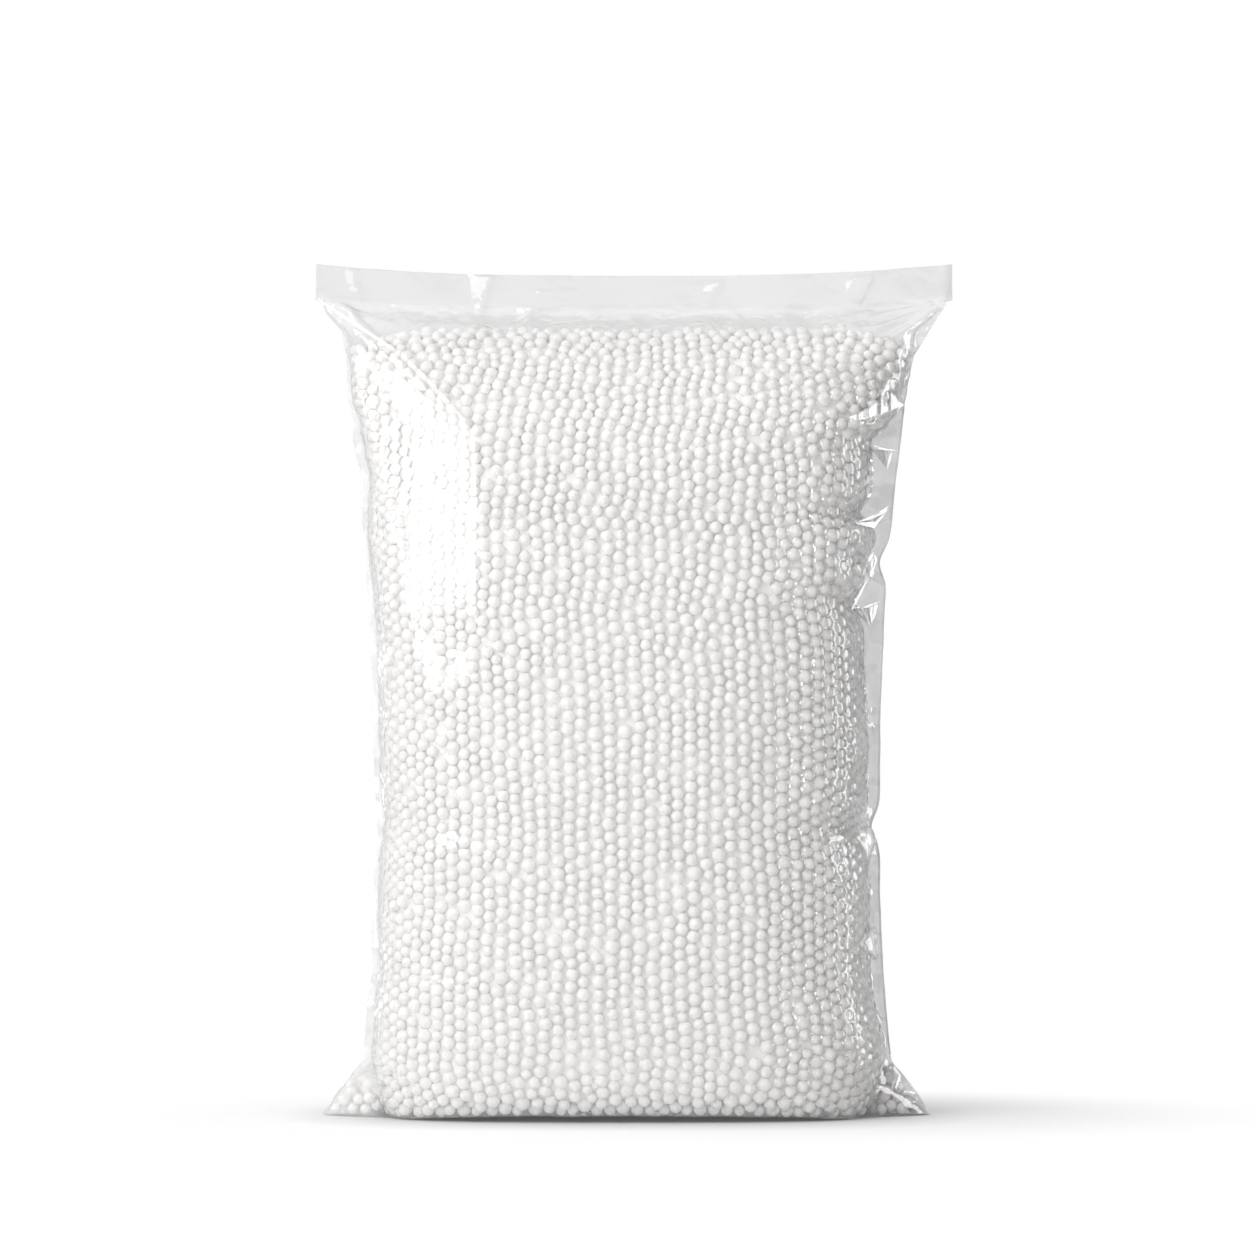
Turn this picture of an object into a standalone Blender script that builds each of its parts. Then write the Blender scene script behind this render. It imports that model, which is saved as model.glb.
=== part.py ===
"""Clear film bag packed with polystyrene beads, heat sealed under a flat header and standing on its fill.

Metres, +Z up. The origin is on the floor under the middle of the bag. X runs along the seal, -Y is the front.
Every level of the bag is a level ring: a rounded core that the beads press out, and at each side the flat
fold of the lay-flat film, which reaches far past the core in the bottom ears and in the wedge under the header.
"""

import math

import bmesh
import bpy
from mathutils import Vector
from mathutils.bvhtree import BVHTree

# Film
FILM = 0.0001
HEADER_WIDTH = 0.2402
HEADER_SHIFT = 0.0027
HEADER_HEIGHT = 0.0135
HEADER_DIP = 0.0045
SEAL_HEIGHT = 0.3075
FOLD_WELD = 0.0012

# Half widths of the bag at the side folds, and the heights where they lie
EAR_HALF = 0.1148
EAR_HEIGHT = 0.0205
FOOT_HALF = 0.0998
WAIST_HALF = 0.0955
WAIST_HEIGHT = 0.086
BULGE_HEIGHT = 0.128
SHOULDER_HALF = 0.1073
SHOULDER_HEIGHT = 0.2835

# The seal sags and leans, and spreads the bag into a wedge. How far under the seal each of these is felt
DIP_REACH = 0.053
LEAN_REACH = 0.044
WEDGE_REACH = 0.034
WEDGE_STOP = 0.004

# Depth of the bag, front to middle
CONTACT_DEPTH = 0.040
BELLY_DEPTH = 0.052
BELLY_HEIGHT = 0.110
CONTACT_TUCK = 0.007

# Side folds: how far they stand off the fill, as height and reach, and how thick they are at their root
REACH_LEFT = ((0.0, 0.0045), (0.050, 0.0030), (0.235, 0.0030), (0.252, 0.0042), (0.268, 0.0030))
REACH_RIGHT = (
    (0.0, 0.0055),
    (0.050, 0.0045),
    (0.149, 0.0050),
    (0.182, 0.0078),
    (0.210, 0.0052),
    (0.227, 0.0100),
    (0.254, 0.0108),
    (0.267, 0.0030),
)
FOLD_ROOT = 0.0026
EAR_ROOT = 0.0160
EAR_FADE_START = 0.008
EAR_FADE_END = 0.027

# Shapes of the curves. A ring at the foot, waist and seal is an ellipse at 2 and squarer above it.
# The ear's outline and plan, the flare over the foot, the belly's foot and roof are straight at 1.
RING_POWER = (3.0, 2.6, 3.4)
EAR_CURVE = 1.15
EAR_PLAN_CURVE = 0.7
FLARE_CURVE = 1.6
BELLY_FOOT_CURVE = 6
BELLY_ROOF_CURVE = 5

# Nips in the side folds, as height, depth and half height
NIPS_LEFT = (
    (0.0560, 0.0012, 0.005),
    (0.1105, 0.0022, 0.008),
    (0.2380, 0.0020, 0.008),
    (0.2610, 0.0012, 0.004),
    (0.2930, 0.0040, 0.006),
)
NIPS_RIGHT = ((0.1085, 0.0032, 0.006), (0.2085, 0.0031, 0.006))

# Fill. Its roof closes over a height under its top. Its top corners are drawn in from a share of that height
CLEARANCE = 0.0003
HEADROOM = 0.0100
FILL_TOP = SEAL_HEIGHT - HEADROOM
FILL_ROOF_HEIGHT = 0.0475
FILL_ROOF_CURVE = 6
FILL_ROOF_POWER = 0.4
CORNER_START = 0.8
CORNER_DRAW = 0.30
CORNER_CURVE = 1.3
BEAD_RELIEF = 0.0024
BEAD_TURNS = 66
BEAD_ROWS = 38
ROW_EASE = 0.55
CLEARING_PASSES = 4

# Loose beads in each ear, from the tip inwards: diameters of those on the floor and of those on top of them
EAR_BEADS_LOW = (0.0043, 0.0048, 0.0051)
EAR_BEADS_HIGH = (0.0046, 0.0049)
EAR_TIP_GAP = 0.0048

# Two pin vents in the back let the air out when the bag is sealed
VENT_RADIUS = 0.0015
VENT_SPACING = 0.080
VENT_HEIGHT = 0.262
VENT_SIDES = 12

# Facets of the film: columns across the front, rows up the wall and under the seal, and rows round the foot
PANEL_COLUMNS = 22
FOLD_COLUMNS = 3
WALL_ROWS = 20
ROOF_ROWS = 7
ROOF_EASE = 1.8
FOOT_ROWS = (0.0, 0.0012, 0.0045, 0.0100)
FLAT_TURN = 0.45 * math.pi

SAME_PLACE = 1e-7

CLEAR_FILM = ("clear_film", (0.90, 0.91, 0.92), 0.06, 0.22)
BEAD_FOAM = ("bead_foam", (0.86, 0.855, 0.845), 0.55, 1.0)


def smooth_step(value, low, high):
    """0 below low, 1 above high, with an even curve between them."""
    share = min(max((value - low) / (high - low), 0.0), 1.0)
    return share * share * (3 - 2 * share)


def blend(low, high, share):
    return low + (high - low) * share


def nip(height, side):
    """How far a crumple draws the side fold in at this height."""
    nips = NIPS_LEFT if side < 0 else NIPS_RIGHT
    return sum(depth * math.exp(-(((height - at) / reach) ** 2)) for at, depth, reach in nips)


def fold_reach(height, side):
    """How far the side fold stands off the fill at this height."""
    stations = REACH_LEFT if side < 0 else REACH_RIGHT
    for (low, near), (high, far) in zip(stations, stations[1:]):
        if height < high:
            return blend(near, far, (height - low) / (high - low))
    return stations[-1][1]


def foot_to_shoulder(height):
    """Half width of the bag above its ears, without the nips."""
    if height < WAIST_HEIGHT:
        drop = 1 - (height - EAR_HEIGHT) / (WAIST_HEIGHT - EAR_HEIGHT)
        return blend(WAIST_HALF, FOOT_HALF, min(max(drop, 0.0), 1.0) ** FLARE_CURVE)
    rise = (height - BULGE_HEIGHT) / (SHOULDER_HEIGHT - BULGE_HEIGHT)
    return blend(WAIST_HALF, SHOULDER_HALF, min(max(rise, 0.0), 1.0) ** 2)


def fold_half(height, side):
    """Half width of the bag at its side fold: ear, side, then the wedge up to the seal."""
    if height < EAR_HEIGHT:
        return blend(EAR_HALF, FOOT_HALF, (height / EAR_HEIGHT) ** EAR_CURVE)
    half = foot_to_shoulder(height) - nip(height, side)
    rise = (height - SHOULDER_HEIGHT) / (SEAL_HEIGHT - SHOULDER_HEIGHT)
    return blend(half, HEADER_WIDTH / 2, min(max(rise, 0.0), 1.0))


def core_half(height, side):
    """Half width of the rounded core, which the beads fill."""
    tuck = CONTACT_TUCK * (1 - math.sqrt(min(height / EAR_HEIGHT, 1.0)))
    above = max(height, EAR_HEIGHT)
    return foot_to_shoulder(above) - nip(above, side) - fold_reach(above, side) - tuck


def middle(height):
    """X of the ring's middle: the header sits a little to the right of the body."""
    return HEADER_SHIFT * smooth_step(height, SEAL_HEIGHT - LEAN_REACH, SEAL_HEIGHT)


def seal_mid():
    return SEAL_HEIGHT - HEADER_DIP


def core_depth(height):
    """Half depth of the core: flat on the floor, a belly, then a roof that closes at the seal."""
    if height < BELLY_HEIGHT:
        share = 1 - max(height, 0.0) / BELLY_HEIGHT
        return blend(CONTACT_DEPTH, BELLY_DEPTH, math.sqrt(1 - share**BELLY_FOOT_CURVE))
    share = (height - BELLY_HEIGHT) / (seal_mid() - BELLY_HEIGHT)
    return BELLY_DEPTH * (1 - min(share, 1.0) ** BELLY_ROOF_CURVE)


def ring_power(height):
    foot, waist, seal = RING_POWER
    low = blend(foot, waist, smooth_step(height, 0.0, BELLY_HEIGHT))
    return blend(low, seal, smooth_step(height, BELLY_HEIGHT, seal_mid()))


def core_point(turn, half, depth, power):
    """A point of the rounded core, with turn from -90 degrees at the left to 90 at the right."""
    across = math.copysign(abs(math.sin(turn)) ** (2 / power), turn)
    return half * across, depth * max(math.cos(turn), 0.0) ** (2 / power)


def film_point(share, height):
    """(x, depth) of the film for share from -1 at the left fold to 1 at the right fold."""
    side = -1 if share < 0 else 1
    lifted = height + dip(height, 1.0)
    depth = core_depth(height)
    ear = 1 - smooth_step(height, EAR_FADE_START, EAR_FADE_END)
    root = min(blend(FOLD_ROOT, EAR_ROOT, ear), depth)
    power = ring_power(height)
    packed = fold_half(lifted, side) - fold_reach(height, side)
    half = blend(core_half(height, side), packed, wedge_share(height))
    last_turn = math.acos((root / max(depth, FILM)) ** (power / 2)) if depth > root else FLAT_TURN
    first_fold = 1 - 2 * FOLD_COLUMNS / PANEL_COLUMNS
    if abs(share) <= first_fold:
        x, y = core_point(last_turn * share / first_fold, half, depth, power)
    else:
        root_x, root_y = core_point(last_turn, half, depth, power)
        along = (abs(share) - first_fold) / (1 - first_fold)
        x = side * blend(root_x, fold_half(lifted, side), along)
        y = root_y * (1 - along) ** blend(1.0, EAR_PLAN_CURVE, ear)
    return x + middle(height), y


def wedge_share(height):
    """0 where beads fill the bag to its sides, 1 where the empty wedge spreads to the header."""
    return smooth_step(height, SEAL_HEIGHT - WEDGE_REACH, SEAL_HEIGHT - WEDGE_STOP)


def dip(height, across):
    """How much higher the seal's ends lie than its middle, felt by the rings below it too."""
    return HEADER_DIP * smooth_step(height, seal_mid() - DIP_REACH, seal_mid()) * across**2


def shares():
    """Ring positions from the left fold to the right one."""
    return [-1 + 2 * i / PANEL_COLUMNS for i in range(PANEL_COLUMNS + 1)]


def film_ring(height):
    """One level ring of the film: the front from left to right, then the back."""
    front = []
    for share in shares():
        x, depth = film_point(share, height)
        front.append(Vector((x, -depth, height + dip(height, share))))
    back = [Vector((p.x, -p.y, p.z)) for p in reversed(front[1:-1])]
    return front + back


def header_ring(lift, half_thickness, inset=0.0):
    """A ring of the flat header, lift metres above the seal, with its ends drawn in by inset."""
    front = []
    for share in shares():
        x = HEADER_SHIFT + share * (HEADER_WIDTH / 2 - inset)
        edge = 0.0 if abs(share) == 1 else half_thickness
        front.append(Vector((x, -edge, seal_mid() + dip(seal_mid(), share) + lift)))
    back = [Vector((p.x, -p.y, p.z)) for p in reversed(front[1:-1])]
    return front + back


def wall_heights():
    """Heights of the film's rings: close together round the foot, then even, then close under the seal."""
    wall_top = seal_mid() - DIP_REACH
    step = (wall_top - EAR_HEIGHT) / WALL_ROWS
    wall = [EAR_HEIGHT + step * i for i in range(WALL_ROWS)]
    roof = [wall_top + DIP_REACH * (1 - (1 - i / ROOF_ROWS) ** ROOF_EASE) for i in range(ROOF_ROWS)]
    return [*FOOT_ROWS, *wall, *roof]


def add_face(mesh, corners):
    """A face through corners, leaving out any that repeat."""
    distinct = list(dict.fromkeys(corners))
    if len(distinct) > 2:
        mesh.faces.new(distinct)


def loft(rings):
    """A closed bag skinned over level rings, whose first and last are closed across from front to back."""
    mesh = bmesh.new()
    rows = [[mesh.verts.new(p) for p in ring] for ring in rings]
    count = len(rings[0])
    for low, high in zip(rows, rows[1:]):
        for i in range(count):
            j = (i + 1) % count
            add_face(mesh, (low[i], low[j], high[j], high[i]))
    half = count // 2
    for i in range(half):
        left, right = (count - i) % count, (count - i - 1) % count
        bottom = (rows[0][i], rows[0][left], rows[0][right], rows[0][i + 1])
        add_face(mesh, bottom)
        top = (rows[-1][i + 1], rows[-1][right], rows[-1][left], rows[-1][i])
        add_face(mesh, top)
    bmesh.ops.remove_doubles(mesh, verts=mesh.verts, dist=10 * SAME_PLACE)
    return mesh


def material(name, colour, roughness, alpha):
    made = bpy.data.materials.get(name) or bpy.data.materials.new(name)
    made.use_nodes = True
    shader = made.node_tree.nodes["Principled BSDF"]
    shader.inputs["Base Color"].default_value = (*colour, 1.0)
    shader.inputs["Roughness"].default_value = roughness
    shader.inputs["Metallic"].default_value = 0.0
    shader.inputs["Alpha"].default_value = alpha
    return made


def add_object(name, mesh, finish, collection):
    """A named object from a bmesh, shaded smooth."""
    data = bpy.data.meshes.new(name)
    mesh.to_mesh(data)
    mesh.free()
    data.shade_smooth()
    data.set_sharp_from_angle(angle=math.radians(60))
    made = bpy.data.objects.new(name, data)
    if finish:
        data.materials.append(material(*finish))
    collection.objects.link(made)
    return made


def cavity_mesh():
    """The space inside the film: the outer rings drawn in by one film, closed at the seal."""
    rings = [film_ring(height) for height in wall_heights()]
    ridge = header_ring(-FOLD_WELD, 0.0, 2 * FOLD_WELD)
    mesh = loft([*rings, ridge])
    mesh.normal_update()
    drawn_in = {v: v.co - v.normal * FILM * v.calc_shell_factor() for v in mesh.verts}
    for vert, place in drawn_in.items():
        if abs(vert.co.y) < SAME_PLACE:
            place = vert.co - Vector((math.copysign(FOLD_WELD, vert.co.x), 0, 0))
        if vert.co.z < SAME_PLACE:
            place = Vector((place.x, place.y, FILM))
        vert.co = place
    return mesh


def make_film(parts, cutters):
    """The bag's film: one welded shell, hollow up to the seal, with two pin vents at the back."""
    rings = [film_ring(height) for height in wall_heights()]
    header = [header_ring(lift, FILM) for lift in (0.0, HEADER_HEIGHT / 2, HEADER_HEIGHT)]
    film = add_object("film_bag", loft([*rings, *header]), CLEAR_FILM, parts)
    cavity = add_object("cavity_cutter", cavity_mesh(), None, cutters)
    cut_away(film, cavity)
    for side in (-1, 1):
        bpy.ops.mesh.primitive_cylinder_add(
            vertices=VENT_SIDES,
            radius=VENT_RADIUS,
            depth=BELLY_DEPTH,
            location=(side * VENT_SPACING / 2, BELLY_DEPTH, VENT_HEIGHT),
            rotation=(math.pi / 2, 0, 0),
        )
        vent = bpy.context.object
        vent.name = "vent_cutter_left" if side < 0 else "vent_cutter_right"
        move_to(vent, cutters)
        cut_away(film, vent)
    return film, cavity


def move_to(made, collection):
    for owner in made.users_collection:
        owner.objects.unlink(made)
    collection.objects.link(made)


def cut_away(body, cutter):
    cutter.hide_render = True
    cutter.display_type = "WIRE"
    cut = body.modifiers.new("cut_" + cutter.name, "BOOLEAN")
    cut.operation = "DIFFERENCE"
    cut.object = cutter


def fill_point(turn, height, sunk):
    """A point on the mass of beads, sunk metres under the tops of its outer beads."""
    side = -1 if turn < 0 else 1
    inset = FILM + CLEARANCE + sunk
    closing = min(max(1 - (FILL_TOP - height) / FILL_ROOF_HEIGHT, 0.0), 1.0)
    depth = core_depth(height) * (1 - closing**FILL_ROOF_CURVE) ** FILL_ROOF_POWER - inset
    corner = max((closing - CORNER_START) / (1 - CORNER_START), 0.0)
    half = core_half(height, side) * (1 - CORNER_DRAW * corner**CORNER_CURVE)
    x, y = core_point(turn, half - inset, max(depth, 0.0), ring_power(height))
    return x, y


def fill_heights():
    """Heights of the fill's rings, even along its outline from the floor over the shoulder to the top."""
    base = FILM + CLEARANCE
    heights = []
    for i in range(BEAD_ROWS + 1):
        along = i / BEAD_ROWS
        eased = 0.5 - 0.5 * math.cos(math.pi * along)
        heights.append(blend(base, FILL_TOP - CLEARANCE, blend(along, eased, ROW_EASE)))
    return heights


def fill_mesh(cavity):
    """The mass of beads as one solid: a chequer of bead tops and the hollows between them."""
    rings = []
    heights = fill_heights()
    for row, height in enumerate(heights):
        edge_row = row in (0, len(heights) - 1)
        ring = []
        for column in range(BEAD_TURNS):
            angle = 2 * math.pi * column / BEAD_TURNS - math.pi / 2
            front = angle <= math.pi / 2
            turn = angle if front else math.pi - angle
            hollow = (row + column) % 2 and not edge_row
            x, y = fill_point(turn, height, BEAD_RELIEF if hollow else 0.0)
            ring.append(Vector((x, -y if front else y, height)))
        rings.append(ring)
    mesh = loft(rings)
    draw_clear(mesh, cavity)
    split_at_hollows(mesh)
    return mesh


def draw_clear(mesh, cavity):
    """Draws each point of the fill back from the film until it clears it."""
    wall = BVHTree.FromObject(cavity, bpy.context.evaluated_depsgraph_get())
    for _ in range(CLEARING_PASSES):
        for vert in mesh.verts:
            place, normal, _face, _distance = wall.find_nearest(vert.co)
            inside = (place - vert.co).dot(normal)
            if inside < CLEARANCE:
                vert.co -= normal * (CLEARANCE - inside)
    floor = FILM + CLEARANCE
    for vert in mesh.verts:
        vert.co.z = max(vert.co.z, floor)


def split_at_hollows(mesh):
    """Cuts each four-sided face along the diagonal that joins its two hollows, so bead tops stay round."""
    centre = Vector((0, 0, BELLY_HEIGHT))
    for face in list(mesh.faces):
        if len(face.verts) != 4:
            continue
        a, b, c, d = face.verts
        first = (a.co - centre).length + (c.co - centre).length
        second = (b.co - centre).length + (d.co - centre).length
        pair = (a, c) if first < second else (b, d)
        bmesh.ops.connect_verts(mesh, verts=pair)


def ear_bead_places():
    """(x, z, diameter) of an ear's loose beads: a row on the floor, from the tip in, and a row on top of it."""
    floor = FILM + CLEARANCE
    low = []
    x = EAR_HALF - EAR_TIP_GAP
    for diameter in EAR_BEADS_LOW:
        x -= diameter / 2
        low.append((x, floor + diameter / 2, diameter))
        x -= diameter / 2 + CLEARANCE
    high = []
    for (outer, inner), diameter in zip(zip(low, low[1:]), EAR_BEADS_HIGH):
        x = (outer[0] + inner[0]) / 2
        reach = (max(outer[2], inner[2]) + diameter) / 2 + CLEARANCE
        rise = math.sqrt(reach**2 - ((outer[0] - inner[0]) / 2) ** 2)
        high.append((x, max(outer[1], inner[1]) + rise, diameter))
    return low + high


def make_ear_beads(parts):
    for side, word in ((-1, "left"), (1, "right")):
        for number, (x, z, diameter) in enumerate(ear_bead_places(), start=1):
            bpy.ops.mesh.primitive_ico_sphere_add(
                subdivisions=2, radius=diameter / 2, location=(side * x, 0, z)
            )
            bead = bpy.context.object
            bead.name = f"ear_bead_{word}_{number}"
            bead.data.materials.append(material(*BEAD_FOAM))
            bead.data.shade_smooth()
            move_to(bead, parts)


def main():
    for old in list(bpy.data.objects):
        bpy.data.objects.remove(old)
    parts = bpy.data.collections.new("bag_of_polystyrene_beads")
    cutters = bpy.data.collections.new("cutters")
    for collection in (parts, cutters):
        bpy.context.scene.collection.children.link(collection)
    _film, cavity = make_film(parts, cutters)
    bpy.context.view_layer.update()
    add_object("bead_fill", fill_mesh(cavity), BEAD_FOAM, parts)
    make_ear_beads(parts)


main()
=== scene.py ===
# %% [markdown]
# # A clear bag of polystyrene beads
#
# The real thing is a tube of clear polyethylene film, sealed at both ends round a few litres of white foam
# beads. The beads carry the look: thousands of small balls, each with its own soft shade. The film over them
# is almost invisible from the front, and shows where it shines, folds, or hangs empty.
#
# So the model has two parts that need different tools. The beads are one small ball, repeated by Geometry
# Nodes at places that a little packing routine works out. The film is one fine mesh, shaped row by row by a
# rule, then pressed by the beads under it and creased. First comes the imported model, which fixes every size
# and place.

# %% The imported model
import math

import bmesh
import bpy
import numpy as np
from mathutils import Matrix, Vector
from mathutils.kdtree import KDTree


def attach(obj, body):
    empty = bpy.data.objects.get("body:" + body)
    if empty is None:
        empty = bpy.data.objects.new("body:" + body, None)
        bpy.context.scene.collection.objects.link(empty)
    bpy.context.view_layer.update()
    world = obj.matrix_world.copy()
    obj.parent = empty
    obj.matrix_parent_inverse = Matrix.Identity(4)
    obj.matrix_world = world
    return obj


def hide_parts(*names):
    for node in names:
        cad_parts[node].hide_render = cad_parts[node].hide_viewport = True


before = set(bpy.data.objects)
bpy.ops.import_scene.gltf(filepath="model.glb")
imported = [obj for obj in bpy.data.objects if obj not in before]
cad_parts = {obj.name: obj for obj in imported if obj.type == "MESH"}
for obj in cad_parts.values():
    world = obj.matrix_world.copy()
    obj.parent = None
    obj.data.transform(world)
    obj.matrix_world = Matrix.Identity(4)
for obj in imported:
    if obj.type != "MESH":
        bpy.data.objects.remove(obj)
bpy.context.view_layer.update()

MM = 0.001

# %% [markdown]
# ## The shape of the bag
#
# A full bag is easiest to describe as a stack of level rings. Each ring is a rounded core, pressed out by the
# beads, and a flat fin at either side where the lay-flat tube was creased. Free sculpting could make the same
# shape, but a rule for the half width and the depth at each height is easier to change and to check. The
# sizes are those of the CAD model, in metres.

# %% Sizes of the bag
HEADER_HALF = 0.1201
HEADER_SHIFT = 0.0027
HEADER_HEIGHT = 0.0135
HEADER_SAG = 0.0045
SEAL_ENDS = 0.3075
SEAL_MIDDLE = SEAL_ENDS - HEADER_SAG
SAG_REACH = 0.053

EAR_HALF, EAR_HEIGHT = 0.1148, 0.0205
FOOT_HALF, WAIST_HALF, SHOULDER_HALF = 0.0998, 0.0955, 0.1073
WAIST_HEIGHT, BULGE_HEIGHT, SHOULDER_HEIGHT = 0.086, 0.128, 0.2835
CONTACT_DEPTH, BELLY_DEPTH, BELLY_HEIGHT = 0.040, 0.052, 0.110
ROOF_POWER = 5
FILL_TOP = 0.2975
FRONT_LIFT, LIFT_SHIFT, LIFT_HALF, LIFT_HEIGHT = 0.0022, 0.002, 0.088, 0.014
LIFT_INNER, LIFT_OUTER = 0.012, 0.036    # depths between which the lift sets in
WEDGE_FOOT, WEDGE_LOW, WEDGE_HIGH = 0.2855, SEAL_ENDS - 0.022, SEAL_ENDS - 0.004
LEAN_REACH, EAR_TUCK = 0.044, 0.007
# Powers of the ring's outline: 2 is an ellipse, and more is squarer
FOOT_SQUARE, BELLY_DROP, SEAL_RISE = 3.0, 0.4, 3.4 - 2.6

# Nips in the side folds: height, depth, half height
NIPS = {
    -1: ((0.0560, 0.0012, 0.005), (0.1105, 0.0022, 0.008), (0.2380, 0.0020, 0.008),
         (0.2610, 0.0012, 0.004), (0.2930, 0.0040, 0.006)),
    1: ((0.1085, 0.0032, 0.006), (0.2085, 0.0031, 0.006)),
}
# How far the flat fin stands out from the beads: height, reach
FIN_REACH = {
    -1: ((0.0, 0.0040), (0.05, 0.0022), (0.235, 0.0022), (0.252, 0.0042), (0.268, 0.0016), (0.30, 0.0010)),
    1: ((0.0, 0.0055), (0.030, 0.0022), (0.050, 0.0055), (0.081, 0.0038), (0.149, 0.0050), (0.182, 0.0078),
        (0.1945, 0.0118), (0.2017, 0.0056), (0.2058, 0.0036), (0.2119, 0.0050), (0.2198, 0.0062),
        (0.2274, 0.0128), (0.2338, 0.0090), (0.243, 0.0092), (0.2545, 0.0108), (0.2594, 0.0056),
        (0.2666, 0.0020), (0.281, 0.0010), (0.30, 0.0010)),
}


def read_off(rows, value):
    """A value between the rows of a table of two columns."""
    return np.interp(value, *zip(*rows))


def length_along(x, y):
    """How far along a line each of its points lies."""
    return np.concatenate([[0], np.cumsum(np.hypot(np.diff(x), np.diff(y)))])


def ease(value, low, high):
    """0 below low, 1 above high, and an even curve between."""
    share = np.clip((value - low) / (high - low), 0.0, 1.0)
    return share * share * (3 - 2 * share)


def unit(vectors):
    """The same directions, each with length 1."""
    return vectors / (np.linalg.norm(vectors, axis=-1, keepdims=True) + 1e-12)


def outward_normals(rows, front):
    """Normals of a closed skin of rows of points, where front is the column in the middle of its front."""
    along = np.roll(rows, -1, axis=1) - np.roll(rows, 1, axis=1)
    normals = unit(np.cross(along, np.gradient(rows, axis=0)))
    middle = len(rows) // 2
    return normals * np.sign(normals[middle, front] @ rows[middle, front])


def fin_edge(height, side):
    """Half width of the bag out to its side fold: the ear, the side, then the wedge up to the seal."""
    height = np.asarray(height, float)
    drop = np.clip(1 - (height - EAR_HEIGHT) / (WAIST_HEIGHT - EAR_HEIGHT), 0, 1)
    rise = np.clip((height - BULGE_HEIGHT) / (SHOULDER_HEIGHT - BULGE_HEIGHT), 0, 1)
    half = WAIST_HALF + (FOOT_HALF - WAIST_HALF) * drop**1.6 + (SHOULDER_HALF - WAIST_HALF) * rise**2
    for at, depth, reach in NIPS[side]:
        half = half - depth * np.exp(-(((height - at) / reach) ** 2))
    wedge = np.clip((height - SHOULDER_HEIGHT) / (SEAL_ENDS - SHOULDER_HEIGHT), 0, 1)
    half = half + (HEADER_HALF - half) * wedge
    ear = EAR_HALF + (FOOT_HALF - EAR_HALF) * (np.clip(height, 0, EAR_HEIGHT) / EAR_HEIGHT) ** 1.15
    return np.where(height < EAR_HEIGHT, ear, half)


def core_edge(height, side):
    """Half width of the core that the beads fill."""
    height = np.asarray(height, float)
    above = np.maximum(height, EAR_HEIGHT)
    reach = read_off(FIN_REACH[side], above)
    tuck = EAR_TUCK * (1 - np.sqrt(np.clip(height / EAR_HEIGHT, 0, 1)))
    wedge = ease(height, WEDGE_LOW, WEDGE_HIGH)
    below = fin_edge(np.minimum(above, WEDGE_FOOT), side)
    return fin_edge(above, side) * wedge + below * (1 - wedge) - reach - tuck


def core_half(across, height):
    """Half width of the core on the side where each value of across lies."""
    return np.where(across < 0, core_edge(height, -1), core_edge(height, 1))


def core_depth(height):
    """Half depth of the core: pressed flat on the floor, a belly, then a roof that closes at the seal."""
    height = np.asarray(height, float)
    low = 1 - np.clip(height, 0, BELLY_HEIGHT) / BELLY_HEIGHT
    foot = CONTACT_DEPTH + (BELLY_DEPTH - CONTACT_DEPTH) * np.sqrt(1 - low**6)
    high = np.clip((height - BELLY_HEIGHT) / (SEAL_MIDDLE - BELLY_HEIGHT), 0, 1)
    return np.where(height < BELLY_HEIGHT, foot, BELLY_DEPTH * (1 - high**ROOF_POWER))


def squareness(height):
    """Power of the ring's outline at a height."""
    low = FOOT_SQUARE - BELLY_DROP * ease(height, 0.0, BELLY_HEIGHT)
    return low + SEAL_RISE * ease(height, BELLY_HEIGHT, SEAL_MIDDLE)


def lean(height):
    """How far the bag leans toward its header, which sits to one side."""
    return HEADER_SHIFT * ease(height, SEAL_ENDS - LEAN_REACH, SEAL_ENDS)


def sag(height, across):
    """How much higher the seal's ends lie than its middle, felt a little way down the bag too."""
    return HEADER_SAG * ease(height, SEAL_MIDDLE - SAG_REACH, SEAL_MIDDLE) * np.abs(across) ** 3


def front_lift(x, y, height):
    """The bottom seam pulls the front edge up off the floor between the ears."""
    arch = np.clip(1 - np.abs((x + LIFT_SHIFT) / LIFT_HALF) ** 2.4, 0, 1)
    return FRONT_LIFT * arch * ease(-y, LIFT_INNER, LIFT_OUTER) * (1 - ease(height, 0.0, LIFT_HEIGHT))


def inside_by(x, z, outline):
    """How far inside an outline a point lies, in its units, negative outside."""
    best = np.full(np.shape(x), 1e9)
    crossings = np.zeros(np.shape(x), int)
    for (ax, az), (bx, bz) in zip(outline, outline[1:] + outline[:1]):
        t = np.clip(((x - ax) * (bx - ax) + (z - az) * (bz - az)) / ((bx - ax) ** 2 + (bz - az) ** 2), 0, 1)
        best = np.minimum(best, np.hypot(x - ax - t * (bx - ax), z - az - t * (bz - az)))
        if az != bz:
            crossings += ((az > z) != (bz > z)) & (x < (bx - ax) * (z - az) / (bz - az) + ax)
    return np.where(crossings % 2 == 1, best, -best)


# At the upper left the film is stretched flat from the crease that leaves the header's corner to the side
# fold, and holds the beads in behind it. Its outline (x, z) and the lower end of the crease, in mm.
TAUT_PART = ((-125, 322), (-84, 302), (-45, 268), (-45, 186), (-58, 172), (-72, 160), (-81, 180), (-86, 205),
             (-90, 226), (-95, 245), (-101, 262), (-111, 290))
CREASE_X, CREASE_Z, CREASE_SLOPE = -57, 257, 1.2
TENT_Z, TENT_START, TENT_LEAN = 235, 0.9, 0.17
TAUT_TURN = math.radians(27)
TAUT_BLEND = (-3.0, 8.0)    # from how far outside its outline to how far inside the pull sets in, in mm
CREASE_BLEND, FILM_HOLLOW = 0.004, 0.0006
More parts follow.
